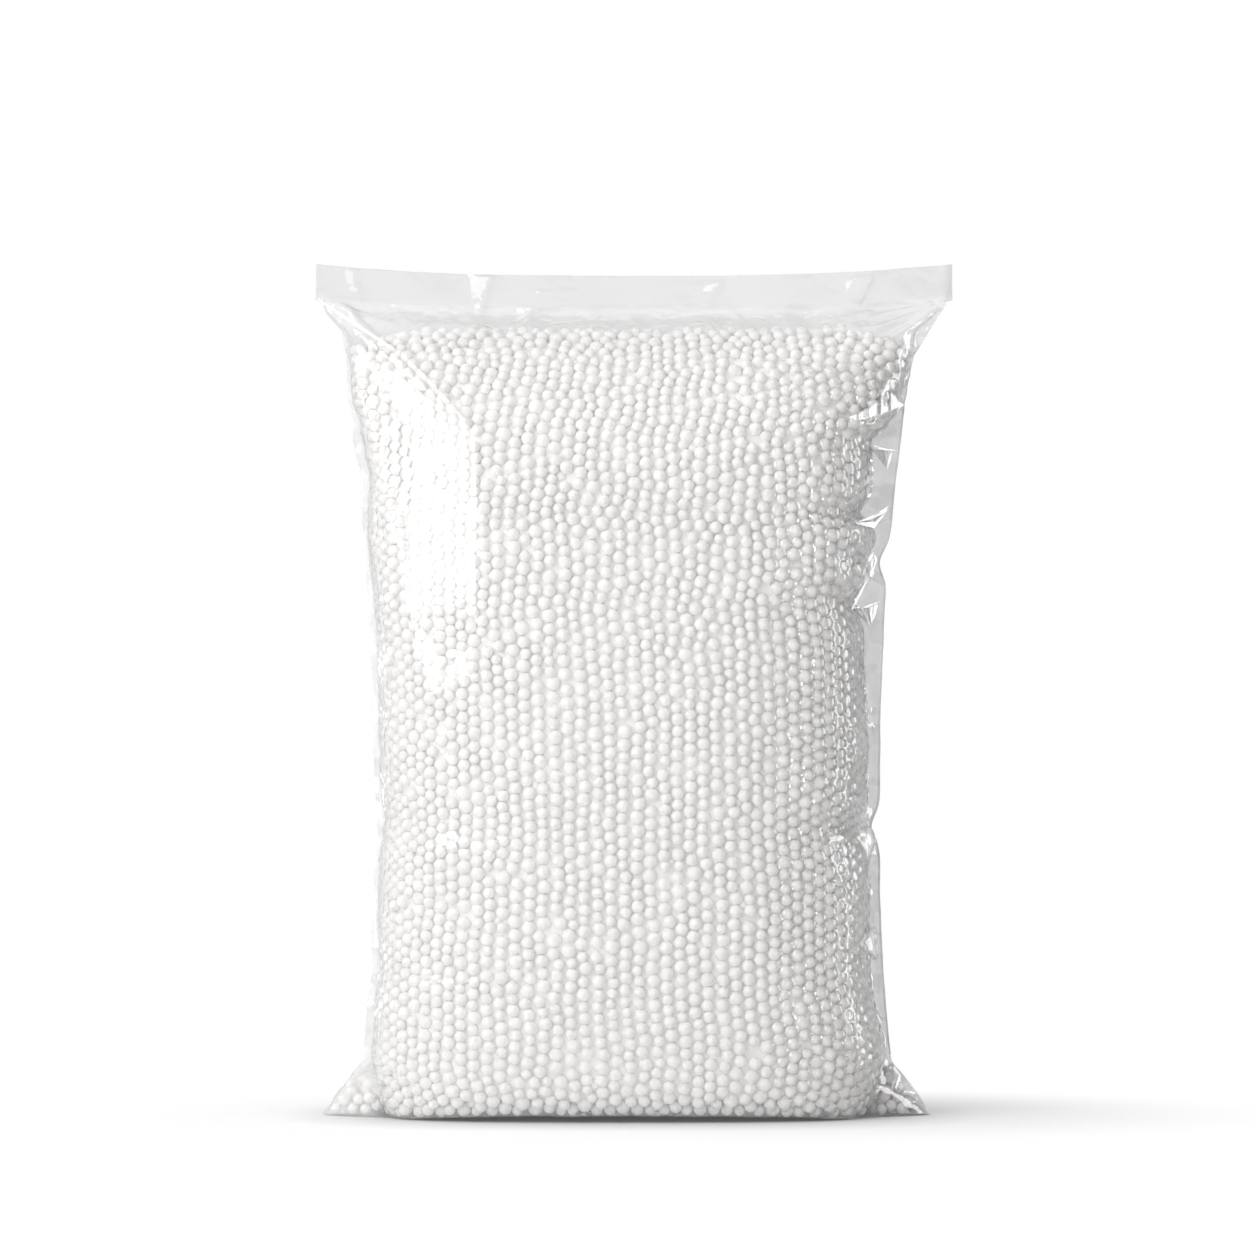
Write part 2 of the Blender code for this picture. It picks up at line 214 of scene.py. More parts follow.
# How far from the crease the film there is quite smooth: height and width, in mm
SMOOTH_BAND = (
    (172, -3), (177, 5), (183, 18), (190, 24), (200, 22), (208, 14), (219, 8), (232, 11), (237, 20),
    (242, 12), (248, 13), (256, 24), (262, 21), (272, 17), (286, 14), (298, 9), (308, 4), (312, -3))


def taut_plane(x, z):
    """y of the flat film there: it follows the beads at the crease up to TENT_Z, and is a tent above it."""
    follow = np.minimum(z, TENT_Z * MM)
    power, half = squareness(follow), core_edge(follow, -1)
    at_crease = -core_depth(follow) * np.clip(1 - np.abs(CREASE_X * MM / half) ** power, 0, 1) ** (1 / power)
    return at_crease + math.tan(TAUT_TURN) * (CREASE_X * MM - x) + TENT_LEAN * (z - follow)


def pulled_in(x, y, z, tented=False):
    """y of a point of the front, pulled in by the taut part, or held out by it where the film is tented."""
    start = (CREASE_X - CREASE_SLOPE * np.maximum(z / MM - CREASE_Z, 0)) * MM
    off = np.minimum(taut_plane(x, z), -FILM_HOLLOW) - y
    off = np.where((z > TENT_START * TENT_Z * MM) & tented, off, np.maximum(off, 0))
    share = ease(inside_by(x / MM, z / MM, TAUT_PART), *TAUT_BLEND) * (y < 0)
    return y + off * share * ease(start - x, -CREASE_BLEND, 0.0)


for level in (0.005, 0.1, 0.2, 0.285):
    print(f"at {level / MM:.0f} mm: half width {float(fin_edge(level, 1)) / MM:.1f}, "
          f"core {float(core_edge(level, 1)) / MM:.1f}, half depth {float(core_depth(level)) / MM:.1f}")

# %% [markdown]
# ## Where the beads lie
#
# Beads that settle in a bag lie against the film in a single layer, touching, and hang together in wandering
# columns. A particle simulation would find this, but slowly and with little say over the pattern. Here each
# column is walked bead by bead down the face, with sizes drawn at random, and then every bead that crowds a
# neighbour is eased away from it along the film. A table of the core's surface turns a girth and a height
# into a point and a normal.

# %% A table of the core's surface
GIRTH_STEPS, LEVELS = 720, 320
levels = np.linspace(0.0, FILL_TOP, LEVELS)
ROOF_START, ROOF_ROUNDS_AT, ROOF_ROUNDING, THINNEST = 0.250, 0.80, 0.30, 0.02
SAG_OF_FILL = 0.6


def core_ring(height, count, narrow, thin):
    """Points round the core at one height, evenly spaced, from the left side over the front."""
    turn = np.linspace(-math.pi, math.pi, 4 * count, endpoint=False)
    power = float(squareness(height))
    half = core_half(np.abs(turn) - math.pi / 2, height)
    x = -half * narrow * np.sign(np.cos(turn)) * np.abs(np.cos(turn)) ** (2 / power)
    y = float(core_depth(height)) * thin * np.sign(np.sin(turn)) * np.abs(np.sin(turn)) ** (2 / power)
    x, y = np.append(x, x[0]), np.append(y, y[0])
    run = length_along(x, y)
    even = np.linspace(0, run[-1], count, endpoint=False)
    return np.interp(even, run, x), np.interp(even, run, y), run[-1]


table = np.zeros((LEVELS, GIRTH_STEPS, 3))
girths = []
for row, height in enumerate(levels):
    closing = float(np.clip((height - ROOF_START) / (FILL_TOP - ROOF_START), 0, 1))
    corner = 1 - ROOF_ROUNDING * float(np.clip((closing - ROOF_ROUNDS_AT) / 0.20, 0, 1)) ** 1.3
    xs, ys, girth = core_ring(height, GIRTH_STEPS, corner, max((1 - closing**6) ** 0.4, THINNEST))
    table[row, :, 0] = xs + lean(height)
    table[row, :, 1] = pulled_in(xs, ys, height)
    table[row, :, 2] = height + sag(height, xs / 0.11) * SAG_OF_FILL + front_lift(xs, ys, height)
    girths.append(girth)
outward = outward_normals(table, GIRTH_STEPS // 4)
print(f"girth at the belly {max(girths) / MM:.0f} mm")


def on_core(girth, level, grid):
    """Looks a table up between its points: girth wraps round from 0 to 1, level runs from 0 to 1."""
    a = (girth % 1.0) * GIRTH_STEPS
    b = np.clip(level, 0, 1) * (LEVELS - 1)
    a0 = np.floor(a).astype(int) % GIRTH_STEPS
    b0 = np.clip(np.floor(b).astype(int), 0, LEVELS - 2)
    fa, fb = (a - np.floor(a))[:, None], (b - b0)[:, None]
    a1 = (a0 + 1) % GIRTH_STEPS
    lower = grid[b0, a0] * (1 - fa) + grid[b0, a1] * fa
    upper = grid[b0 + 1, a0] * (1 - fa) + grid[b0 + 1, a1] * fa
    return lower * (1 - fb) + upper * fb


# %% Columns of beads
BEAD_RADIUS, BEAD_SPREAD, SMALLEST, LARGEST = 0.00240, 0.00024, 0.0019, 0.0030
COLUMN_SPACING, FIRST_LEVEL, COLUMN_SWAY, COLUMN_JITTER = 0.0052, 0.0042, 0.0062, 0.012
REACH = 2.9 * BEAD_RADIUS    # how far a bead's neighbours are looked for
OVERLAP = 0.95
ROOM = 1.13    # beads keep this much further apart sideways than they are wide
NEST = 1.22    # and this much further than up and down, so that columns show
PUSH, LONGEST_STEP = 0.42, 0.01
SKIN_GAP, DEPTH_NOISE = 0.0002, 0.00030
HOLE_TRIES, ADDED_RADIUS, ADDED_APART = 40000, 0.0023, 0.0044
rng = np.random.default_rng(23)


def wander(girth, height, seed):
    """A slow wave over the face, about 1 at most, that bends the columns."""
    own = np.random.default_rng(seed)
    total = 0.0
    for _ in range(5):
        turns, rises, phase = own.integers(1, 7), own.uniform(8, 45), own.uniform(0, 6.28)
        total = total + np.sin(2 * math.pi * turns * girth + rises * height + phase)
    return total / 5


def bead_radii(count):
    return np.clip(rng.normal(BEAD_RADIUS, BEAD_SPREAD, count), SMALLEST, LARGEST)


def columns_of_beads():
    """Seeds of the beads, column by column: girth, level and radius."""
    count = int(max(girths) / COLUMN_SPACING)
    found = [((n + 0.5) / (count + 8), 0.0, bead_radii(1)[0]) for n in range(count + 8)]
    for column in range(count):
        level = rng.uniform(FIRST_LEVEL, FIRST_LEVEL + 2 * BEAD_RADIUS) / FILL_TOP
        while level < 1:
            radius = bead_radii(1)[0]
            sway = COLUMN_SWAY * wander(column / count, level * FILL_TOP, 5)
            girth = column / count + sway + rng.normal(0, COLUMN_JITTER) / count
            found.append((girth, level, radius))
            step = np.clip([level - 0.005, level + 0.005], 0, 1)
            low, high = on_core(np.full(2, girth), step, table)
            level += 2 * OVERLAP * radius * (step[1] - step[0]) / math.dist(low, high)
    return np.array(found)


def random_seeds(own, count, lowest, highest, radius):
    girth, level = own.uniform(0, 1, count), own.uniform(lowest, highest, count)
    return np.stack([girth, level, np.full(count, radius)], 1)


def bead_centres(seeds, sunk):
    """Centres of the beads of these seeds, sunk this far below the film, and the film's normals there."""
    place = on_core(seeds[:, 0], seeds[:, 1], table)
    normal = unit(on_core(seeds[:, 0], seeds[:, 1], outward))
    centre = place - normal * (seeds[:, 2] + SKIN_GAP + sunk)[:, None]
    floor = seeds[:, 2] + 0.0004 + front_lift(centre[:, 0], centre[:, 1], 0)
    centre[:, 2] = np.maximum(centre[:, 2], floor)
    return centre, normal


def search_tree(points):
    tree = KDTree(len(points))
    for i, point in enumerate(points):
        tree.insert(point, i)
    tree.balance()
    return tree


def neighbours(centres):
    """Pairs of beads that lie near each other."""
    tree = search_tree(centres)
    found = ((i, j) for i, c in enumerate(centres) for _co, j, _d in tree.find_range(c, REACH))
    return np.array([(i, j) for i, j in found if j > i])


def slope(seeds, girth_step, level_step):
    """How a point of the surface moves as its girth, or its level, grows."""
    ahead = on_core(seeds[:, 0] + girth_step, seeds[:, 1] + level_step, table)
    behind = on_core(seeds[:, 0] - girth_step, seeds[:, 1] - level_step, table)
    return (ahead - behind) / (2 * (girth_step + level_step))


def ease_apart(seeds, rounds, snug):
    """Pushes crowded beads apart along the film, a little at a time."""
    squash = np.array([1.0, 1.0, NEST])
    for turn in range(rounds):
        centres, _ = bead_centres(seeds, 0)
        if turn % 5 == 0:
            pairs = neighbours(centres)
        i, j = pairs[:, 0], pairs[:, 1]
        gap = (centres[i] - centres[j]) * squash
        far = np.linalg.norm(gap, axis=1) + 1e-9
        crowd = np.maximum(snug * ROOM * (seeds[i, 2] + seeds[j, 2]) - far, 0)
        push = gap / far[:, None] * (crowd * PUSH)[:, None]
        move = np.zeros_like(centres)
        np.add.at(move, i, push)
        np.add.at(move, j, -push)
        for part, along_it in ((0, slope(seeds, 1e-3, 0)), (1, slope(seeds, 0, 2e-3))):
            step = (move * along_it).sum(1) / ((along_it**2).sum(1) + 1e-3)
            seeds[:, part] += np.clip(step, -LONGEST_STEP, LONGEST_STEP)
        seeds[:, 1] = np.clip(seeds[:, 1], 0, 1)
    return seeds


def thin_out(seeds, closest):
    """Drops the beads that still sink too far into one already kept."""
    centres, _ = bead_centres(seeds, 0)
    keep = np.ones(len(seeds), bool)
    for i, j in neighbours(centres):
        if keep[i] and keep[j]:
            apart = np.linalg.norm(centres[i] - centres[j])
            keep[j] = apart >= closest * ROOM * (seeds[i, 2] + seeds[j, 2])
    return seeds[keep]


def fill_holes(seeds, tries, room):
    """Adds a small bead wherever the others leave room for one."""
    tree = search_tree(bead_centres(seeds, 0)[0])
    own = np.random.default_rng(77)
    spots = random_seeds(own, tries, 0.01, 0.995, ADDED_RADIUS)
    added, places = [], []
    for spot, c in zip(spots, bead_centres(spots, 0)[0]):
        _co, j, distance = tree.find(c)
        free = distance > room * ROOM * (ADDED_RADIUS + seeds[j, 2])
        if free and all(math.dist(c, q) > ADDED_APART for q in places):
            added.append(spot)
            places.append(c)
    print(len(added), "holes filled")
    return np.concatenate([seeds, added]) if added else seeds


seeds = thin_out(ease_apart(columns_of_beads(), 8, 0.96), 0.62)
seeds = thin_out(ease_apart(seeds, 24, 1.02), 0.72)
seeds = ease_apart(fill_holes(seeds, HOLE_TRIES, 0.76), 10, 1.0)
seeds = thin_out(ease_apart(fill_holes(seeds, HOLE_TRIES, 0.80), 6, 1.0), 0.70)
depth_noise = np.abs(rng.normal(0, DEPTH_NOISE, len(seeds)))
bead_places, _ = bead_centres(seeds, depth_noise)
print(len(seeds), "beads against the film")

# %% Beads behind the first layer
# Each is pushed out from behind until it touches the beads in front, so that it looks through a gap.
BEHIND_RADIUS, BEHIND_OVERLAP, BEHIND_APART, CELL = 0.0024, 0.84, 0.0034, 0.005
front_beads = search_tree(bead_places)


def settle_behind(tries, depths):
    """Places behind the first layer: each try takes the least depth at which it clears the beads in front."""
    own = np.random.default_rng(41)
    spots = random_seeds(own, tries, 0.004, 1, BEHIND_RADIUS)
    layers = [bead_centres(spots, np.full(tries, depth))[0] for depth in depths]
    taken, cells = [], {}
    waiting = list(range(tries))
    for layer in layers:
        later = []
        for i in waiting:
            c = layer[i]
            _co, j, distance = front_beads.find(c)
            if distance < BEHIND_OVERLAP * (BEHIND_RADIUS + seeds[j, 2]):
                later.append(i)
                continue
            key = tuple(int(v // CELL) for v in c)
            close = (q for a in (-1, 0, 1) for b in (-1, 0, 1) for d in (-1, 0, 1)
                     for q in cells.get((key[0] + a, key[1] + b, key[2] + d), ()))
            if any(math.dist(c, q) < BEHIND_APART for q in close):
                continue
            cells.setdefault(key, []).append(tuple(c))
            taken.append(c)
        waiting = later
    return np.array(taken)


under_places = settle_behind(26000, (0.0009, 0.0014, 0.0019, 0.0024, 0.0030, 0.0036))
print(len(under_places), "beads behind them")

# %% Loose beads in the ears
EAR_TRIES, EAR_CEILING, EAR_ROOT, EAR_DEPTH = 14000, 0.0185, 0.0890, 0.0150
FLOOR_GAP, TIP_GAP, CLEAR_OF_FILL = 0.0004, 0.0008, 0.0019


def ear_beads(side):
    """Beads dropped one by one into an ear, lowest places first."""
    own = np.random.default_rng(11 + side)
    tries = []
    for _ in range(EAR_TRIES):
        radius = own.uniform(0.0021, 0.0026)
        x = own.uniform(0.0880, 0.1130)
        z = FLOOR_GAP + radius + own.exponential(0.0035)
        y = own.uniform(-0.013, 0.013)
        tries.append((z, x, y, radius))
    kept = []
    for z, x, y, radius in sorted(tries):
        edge = float(fin_edge(z, side))
        if x > edge - TIP_GAP - radius or z > EAR_CEILING:
            continue
        room = EAR_DEPTH * (1 - (x - EAR_ROOT) / (edge - EAR_ROOT)) ** 0.7 - radius - FLOOR_GAP
        if abs(y) > room:
            continue
        if any((z - b[0]) ** 2 + (x - b[1]) ** 2 + (y - b[2]) ** 2 < (radius + b[3]) ** 2 for b in kept):
            continue
        kept.append((z, x, y, radius))
    spots = np.array([(side * x, y, z) for z, x, y, _r in kept])
    radii = np.array([r for *_rest, r in kept])
    clear = np.array([front_beads.find(s)[2] > r + CLEAR_OF_FILL for s, r in zip(spots, radii)])
    return spots[clear], radii[clear]


ears = {side: ear_beads(side) for side in (-1, 1)}
print("ear beads:", {side: len(found[0]) for side, found in ears.items()})

# %% [markdown]
# ## Finishes
#
# Polystyrene foam is a matte white plastic with a faint skin, so each bead has a soft, wide highlight and the
# gaps between beads fill with light that bounces from bead to bead. The film is clear polyethylene: most
# light goes straight through, and the rest mirrors the room, more so where the film turns away from the eye.
# That is a mix of a Transparent and a Glossy shader. A solid glass shader would bend the view and be slow and
# noisy for a film that is thinner than a hair.

# %% Node and colour helpers


def linear(code):
    """An sRGB hex colour as the linear values that Blender's sockets take."""
    parts = [int(code[i:i + 2], 16) / 255 for i in (0, 2, 4)]
    return tuple(p / 12.92 if p <= 0.04045 else ((p + 0.055) / 1.055) ** 2.4 for p in parts) + (1.0,)


def add(tree, kind, links=None, values=None, **settings):
    """Adds a node: settings on it, values on its sockets, and links into them, from an output or from a node,
    which stands for its first output in use."""
    node = tree.nodes.new(kind)
    for name, value in settings.items():
        setattr(node, name, value)
    for name, value in (values or {}).items():
        node.inputs[name].default_value = value
    for name, source in (links or {}).items():
        if isinstance(source, bpy.types.Node):
            source = next(output for output in source.outputs if output.enabled)
        tree.links.new(source, node.inputs[name])
    return node


def new_material(name):
    made = bpy.data.materials.new(name)
    made.use_nodes = True
    made.node_tree.nodes.clear()
    return made, made.node_tree


# %% Expanded polystyrene
# Matte and very white, with a thin moulded skin over cells of half a millimetre, drawn at about their real
# size.
FOAM_WHITE, FOAM_SHADE = "FAF9F8", "F5F3F1"
CELL_SIZE, CELL_DEPTH = 0.0006, 0.00004

foam, tree = new_material("expanded_polystyrene")
where = add(tree, "ShaderNodeTexCoord").outputs["Object"]
tone = add(tree, "ShaderNodeAttribute", attribute_name="tone").outputs["Fac"]
ramp = add(tree, "ShaderNodeValToRGB", {"Fac": tone})
for stop, code in zip(ramp.color_ramp.elements, (FOAM_SHADE, FOAM_WHITE)):
    stop.color = linear(code)
cells = add(tree, "ShaderNodeTexVoronoi", {"Vector": where}, {"Scale": 1 / CELL_SIZE}, feature="F1")
skin = add(tree, "ShaderNodeBump", {"Height": cells}, {"Strength": 0.25, "Distance": CELL_DEPTH})
surface = add(tree, "ShaderNodeBsdfPrincipled", {"Base Color": ramp, "Normal": skin},
              {"Roughness": 0.48, "IOR": 1.45, "Specular IOR Level": 0.45})
add(tree, "ShaderNodeOutputMaterial", {"Surface": surface})
print("made", foam.name)

# %% Clear polyethylene film
# The film takes a little light at every pass, and more where it stands steep to the eye. Attributes of the
# mesh say point by point how clouded it is, how much painted shade darkens its tint, how slack, and so
# crumpled, how much it gleams, and how closely it is wrapped round the bead under it. Each face carries that
# bead's centre and size.
FILM_TINT, FILM_OBLIQUE_TINT, FILM_STEEP_TINT = "F1F1F1", "E2E2E2", "A8A8AB"
OBLIQUE = 0.72    # how far from face on the middle tint stands
# The darker tint here is painted shade, for the right fin and the far right of the bag, the side that lies in
# shade.
FILM_PAINTED_SHADE_TINT, FILM_HAZE = "B0B0B2", "F6F6F6"
FACE_ON_SHINE, STEEP_SHINE, SHINE_POWER = 0.08, 0.66, 3.0
FILM_ROUGHNESS = 0.05
RIPPLE_SIZE, RIPPLE_DEPTH = 0.00625, 0.0003
WRAP_START, WRAP_END, WRAP_DEPTH = 0.00050, 0.00110, 0.0009
CRUMPLE_SIZE, CRUMPLE_DEPTH = 0.0085, 0.0014
BEND_SIZE, BEND_BY = 1 / 90, 0.012

film_finish, tree = new_material("clear_polyethylene_film")
where = add(tree, "ShaderNodeTexCoord").outputs["Object"]
given = {name: add(tree, "ShaderNodeAttribute", attribute_name=name).outputs[output] for name, output in (
    ("clouded", "Fac"), ("wrapped", "Fac"), ("painted_shade", "Fac"), ("slack", "Fac"), ("gleam", "Fac"),
    ("bead_at", "Vector"), ("bead_size", "Fac"))}
slow = add(tree, "ShaderNodeTexNoise", {"Vector": where}, {"Scale": 1 / RIPPLE_SIZE, "Detail": 2.0})
ripple = add(tree, "ShaderNodeBump", {"Height": slow}, {"Strength": 0.35, "Distance": RIPPLE_DEPTH})
from_bead = add(tree, "ShaderNodeVectorMath", {0: where, 1: given["bead_at"]}, operation="DISTANCE")
off_bead = add(tree, "ShaderNodeMath", {0: from_bead, 1: given["bead_size"]}, operation="SUBTRACT")
rim = add(tree, "ShaderNodeMapRange", {"Value": off_bead},
          {"From Min": WRAP_START, "From Max": WRAP_END, "To Min": 1.0, "To Max": 0.0},
          interpolation_type="SMOOTHSTEP")
wrapped = add(tree, "ShaderNodeBump", {"Height": rim, "Strength": given["wrapped"], "Normal": ripple},
              {"Distance": WRAP_DEPTH})
noise = add(tree, "ShaderNodeTexNoise", {"Vector": where}, {"Scale": 1 / BEND_SIZE, "Detail": 1.0})
bent = add(tree, "ShaderNodeVectorMath", {0: noise.outputs["Color"], 2: where}, {1: (BEND_BY,) * 3},
           operation="MULTIPLY_ADD")
folds = add(tree, "ShaderNodeTexVoronoi", {"Vector": bent}, {"Scale": 1 / CRUMPLE_SIZE},
            feature="DISTANCE_TO_EDGE")
crumpled = add(tree, "ShaderNodeBump", {"Height": folds, "Strength": given["slack"], "Normal": wrapped},
               {"Distance": CRUMPLE_DEPTH})
facing = add(tree, "ShaderNodeLayerWeight", {"Normal": crumpled}, {"Blend": 0.5}).outputs["Facing"]
steep = add(tree, "ShaderNodeMath", {0: facing}, {1: SHINE_POWER}, operation="POWER")
shine = add(tree, "ShaderNodeMapRange", {"Value": steep}, {"To Min": FACE_ON_SHINE, "To Max": STEEP_SHINE})
shine = add(tree, "ShaderNodeMath", {0: shine, 1: given["gleam"]}, operation="MULTIPLY")
thick = add(tree, "ShaderNodeValToRGB", {"Fac": facing})
for stop, code in zip(thick.color_ramp.elements, (FILM_TINT, FILM_STEEP_TINT)):
    stop.color = linear(code)
thick.color_ramp.elements.new(OBLIQUE).color = linear(FILM_OBLIQUE_TINT)
# Painted shade: the film's tint is darkened where the mesh says, on the right fin and the far right.
tint = add(tree, "ShaderNodeMix", {"Factor": given["painted_shade"], "A": thick}, {"B": linear(FILM_PAINTED_SHADE_TINT)},
           data_type="RGBA")
clear = add(tree, "ShaderNodeBsdfTransparent", {"Color": tint})
gloss = add(tree, "ShaderNodeBsdfAnisotropic", {"Normal": crumpled},
            {"Color": linear("FFFFFF"), "Roughness": FILM_ROUGHNESS})
haze = add(tree, "ShaderNodeBsdfDiffuse", values={"Color": linear(FILM_HAZE)})
through = add(tree, "ShaderNodeMixShader", {0: given["clouded"], 1: clear, 2: haze})
surface = add(tree, "ShaderNodeMixShader", {0: shine, 1: through, 2: gloss})
add(tree, "ShaderNodeOutputMaterial", {"Surface": surface})
print("made", film_finish.name)

# %% [markdown]
# ## Making the beads
#
# Each bead is the same ball of eighty faces, which is round enough at this size, so a Geometry Nodes tree
# puts one on every point of a cloud of places. The points carry each bead's radius and its tone. The tree
# ends by making the copies real and giving them their finish, and the result is kept as a plain mesh, one for
# each quarter of the bag.

# %% Helpers for meshes and objects


def store(mesh, name, values, domain="POINT"):
    """Keeps a number or a vector for each point or face of a mesh, for materials and node trees to read."""
    kind, field = ("FLOAT", "value") if np.ndim(values) == 1 else ("FLOAT_VECTOR", "vector")
    mesh.attributes.new(name, kind, domain).data.foreach_set(field, np.asarray(values, np.float32).ravel())


def stand(name, data):
    """Puts a mesh, lamp or camera into the scene."""
    made = bpy.data.objects.new(name, data)
    bpy.context.scene.collection.objects.link(made)
    return made


# %% The tree that turns points into beads


def bead_tree():
    made = bpy.data.node_groups.new("Beads on points", "GeometryNodeTree")
    for name, way, kind in (("Points", "INPUT", "Geometry"), ("Roundness", "INPUT", "Int"),
                            ("Finish", "INPUT", "Material"), ("Beads", "OUTPUT", "Geometry")):
        made.interface.new_socket(name, in_out=way, socket_type="NodeSocket" + kind)
    into = add(made, "NodeGroupInput").outputs
    ball = add(made, "GeometryNodeMeshIcoSphere", {"Subdivisions": into["Roundness"]}, {"Radius": 1.0})
    radius = add(made, "GeometryNodeInputNamedAttribute", values={"Name": "bead_radius"}, data_type="FLOAT")
    spin = add(made, "FunctionNodeRandomValue", data_type="FLOAT_VECTOR",
               values={"Min": (0, 0, 0), "Max": (6.28, 6.28, 6.28), "Seed": 7})
    put = add(made, "GeometryNodeInstanceOnPoints",
              {"Points": into["Points"], "Instance": ball, "Scale": radius, "Rotation": spin})
    real = add(made, "GeometryNodeRealizeInstances", {"Geometry": put})
    smooth = add(made, "GeometryNodeSetShadeSmooth", {"Geometry": real})
    finish = add(made, "GeometryNodeSetMaterial", {"Geometry": smooth, "Material": into["Finish"]})
    add(made, "NodeGroupOutput", {"Beads": finish})
    return made


beads_on_points = bead_tree()


def make_beads(name, places, radii, roundness):
    """A plain mesh of beads at these places."""
    cloud = bpy.data.meshes.new(name + "_points")
    cloud.from_pydata([tuple(p) for p in places], [], [])
    store(cloud, "bead_radius", radii)
    store(cloud, "tone", np.random.default_rng(len(places)).uniform(0, 1, len(places)))
    holder = stand(name + "_points", cloud)
    nodes = holder.modifiers.new("beads", "NODES")
    nodes.node_group = beads_on_points
    keys = {s.name: s.identifier for s in beads_on_points.interface.items_tree if s.in_out == "INPUT"}
    nodes[keys["Roundness"]] = roundness
    nodes[keys["Finish"]] = foam
    graph = bpy.context.evaluated_depsgraph_get()
    mesh = bpy.data.meshes.new_from_object(holder.evaluated_get(graph))
    bpy.data.objects.remove(holder)
    mesh.name = name
    made = stand(name, mesh)
    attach(made, "root")
    print(name, len(places), "beads,", len(mesh.polygons), "faces")
    return made


# %% The layer of beads against the film
ROUND, PLAINER = 2, 1    # balls of 80 faces and of 20
at_right, at_back = bead_places[:, 0] >= 0, bead_places[:, 1] >= 0
for depth_word, in_depth in (("front", ~at_back), ("back", at_back)):
    for side_word, at_side in (("left", ~at_right), ("right", at_right)):
        part = in_depth & at_side
        piece = make_beads(f"beads_{depth_word}_{side_word}", bead_places[part], seeds[part, 2], ROUND)
        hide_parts("bead_fill")

# %% Beads behind them, and the loose ones in the ears
make_beads("beads_behind", under_places, np.full(len(under_places), 0.0025), PLAINER)
for side, word in ((-1, "left"), (1, "right")):
    spots, radii = ears[side]
    loose = make_beads(f"beads_ear_{word}", spots, radii, ROUND)
    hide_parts(*[f"ear_bead_{word}_{n}" for n in range(1, 6)])

# %% The heart of the fill
# Behind two layers of beads nothing can be told apart, so a plain core stands there and stops the light.
HEART_INSET, HEART_ROWS, HEART_STEP = 0.0036, 40, 10
inset = (table - outward * HEART_INSET)[np.linspace(6, LEVELS - 5, HEART_ROWS).astype(int), ::HEART_STEP]
mesh = bmesh.new()
rings = [[mesh.verts.new(point) for point in ring] for ring in inset]
for low, high in zip(rings, rings[1:]):
    for i in range(len(low)):
        j = (i + 1) % len(low)
        mesh.faces.new((low[i], low[j], high[j], high[i]))
mesh.faces.new(list(reversed(rings[0])))
mesh.faces.new(rings[-1])
bmesh.ops.recalc_face_normals(mesh, faces=mesh.faces)
heart_data = bpy.data.meshes.new("fill_heart")
mesh.to_mesh(heart_data)
mesh.free()
heart_data.materials.append(foam)
heart_data.shade_smooth()
heart = stand("fill_heart", heart_data)
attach(heart, "root")

# %% [markdown]
# ## The film
#
# The film is one closed skin: the front, the back, the fins at the sides, the empty wedge above the beads and
# the flat header over the seal. It is built as rows of points, then moved along its own normals: in between
# the beads, where it is stretched from one to the next; into small flat facets, where it is slack; and up
# into the creases that run from the header's corners and the nips. The fins and the header are two layers
# that lie together, so they move as one sheet. Cloth simulation would need a mesh as fine as the beads and
# minutes of time, and would leave less say over where the creases fall.

# %% Rows of the film
FRONT_COLUMNS, BACK_COLUMNS, FIN_COLUMNS = 218, 44, 8
heights = np.concatenate([
    [0.0, 0.0004, 0.0010, 0.0018],
    np.linspace(0.0027, 0.290, 302),
    SEAL_MIDDLE - 0.013 * (1 - np.linspace(0, 1, 17)[1:-1]) ** 1.2,
])
BOTTOM_RINGS = (0.35, 0.60, 0.82)    # rings that fill the bottom, as shares of its outline
HEADER_ROWS, HEADER_PLY = 14, 0.00015
SEAL_CUSP = 0.008    # front and back come together over this much under the seal
# How close together the film's columns stand: share of the way across, and columns for each part of it. The
# right side carries the finest detail and the middle the least.
DENSITY = ((0.0, 1.0), (0.28, 0.95), (0.40, 0.62), (0.62, 0.66), (0.72, 1.55), (1.0, 1.6))
# A fin's half thickness where it leaves the core, and how it thins out: at the side, and in an ear
FIN_ROOT, EAR_FIN_ROOT = 0.0022, 0.0160
FIN_POWER, EAR_FIN_POWER = 1.6, 0.7


def half_section(height, columns):
    """x and half depth from the left fold to the right fold."""
    near_seal = min((SEAL_MIDDLE - height) / SEAL_CUSP, 1.0)
    depth = float(core_depth(height))
    power = float(squareness(height))
    ear = float(1 - ease(height, 0.008, 0.027))
    root = min(FIN_ROOT + (EAR_FIN_ROOT - FIN_ROOT) * ear, depth * (0.12 + 0.68 * ear))
    turn = math.acos((root / depth) ** (power / 2))
    t = np.linspace(-turn, turn, 900)
    x = core_half(t, height) * np.sign(t) * np.abs(np.sin(t)) ** (2 / power)
    y = depth * np.cos(t) ** (2 / power)
    run = length_along(x, y)
    share = np.linspace(0, 1, 400)
    count = np.concatenate([[0], np.cumsum(read_off(DENSITY, share[1:]))])
    even = run[-1] * np.interp(np.linspace(0, count[-1], columns + 1), count, share)
    core_x, core_y = np.interp(even, run, x), np.interp(even, run, y)
    step = np.linspace(0, 1, FIN_COLUMNS + 1)[1:]
    thin = (1 - step) ** (FIN_POWER + (EAR_FIN_POWER - FIN_POWER) * ear)
    left = core_x[0] + (-float(fin_edge(height, -1)) - core_x[0]) * step
    right = core_x[-1] + (float(fin_edge(height, 1)) - core_x[-1]) * step
    xs = np.concatenate([left[::-1], core_x, right])
    ys = np.concatenate([(core_y[0] * thin)[::-1], core_y, core_y[-1] * thin])
    return xs, np.maximum(ys, 0.0) * near_seal * (2 - near_seal)


def one_row(front, back):
    """x, y and z of the front, from left to right, then of the back, the other way."""
    return np.concatenate([np.stack(front, 1), np.stack(back, 1)[::-1][1:-1]])


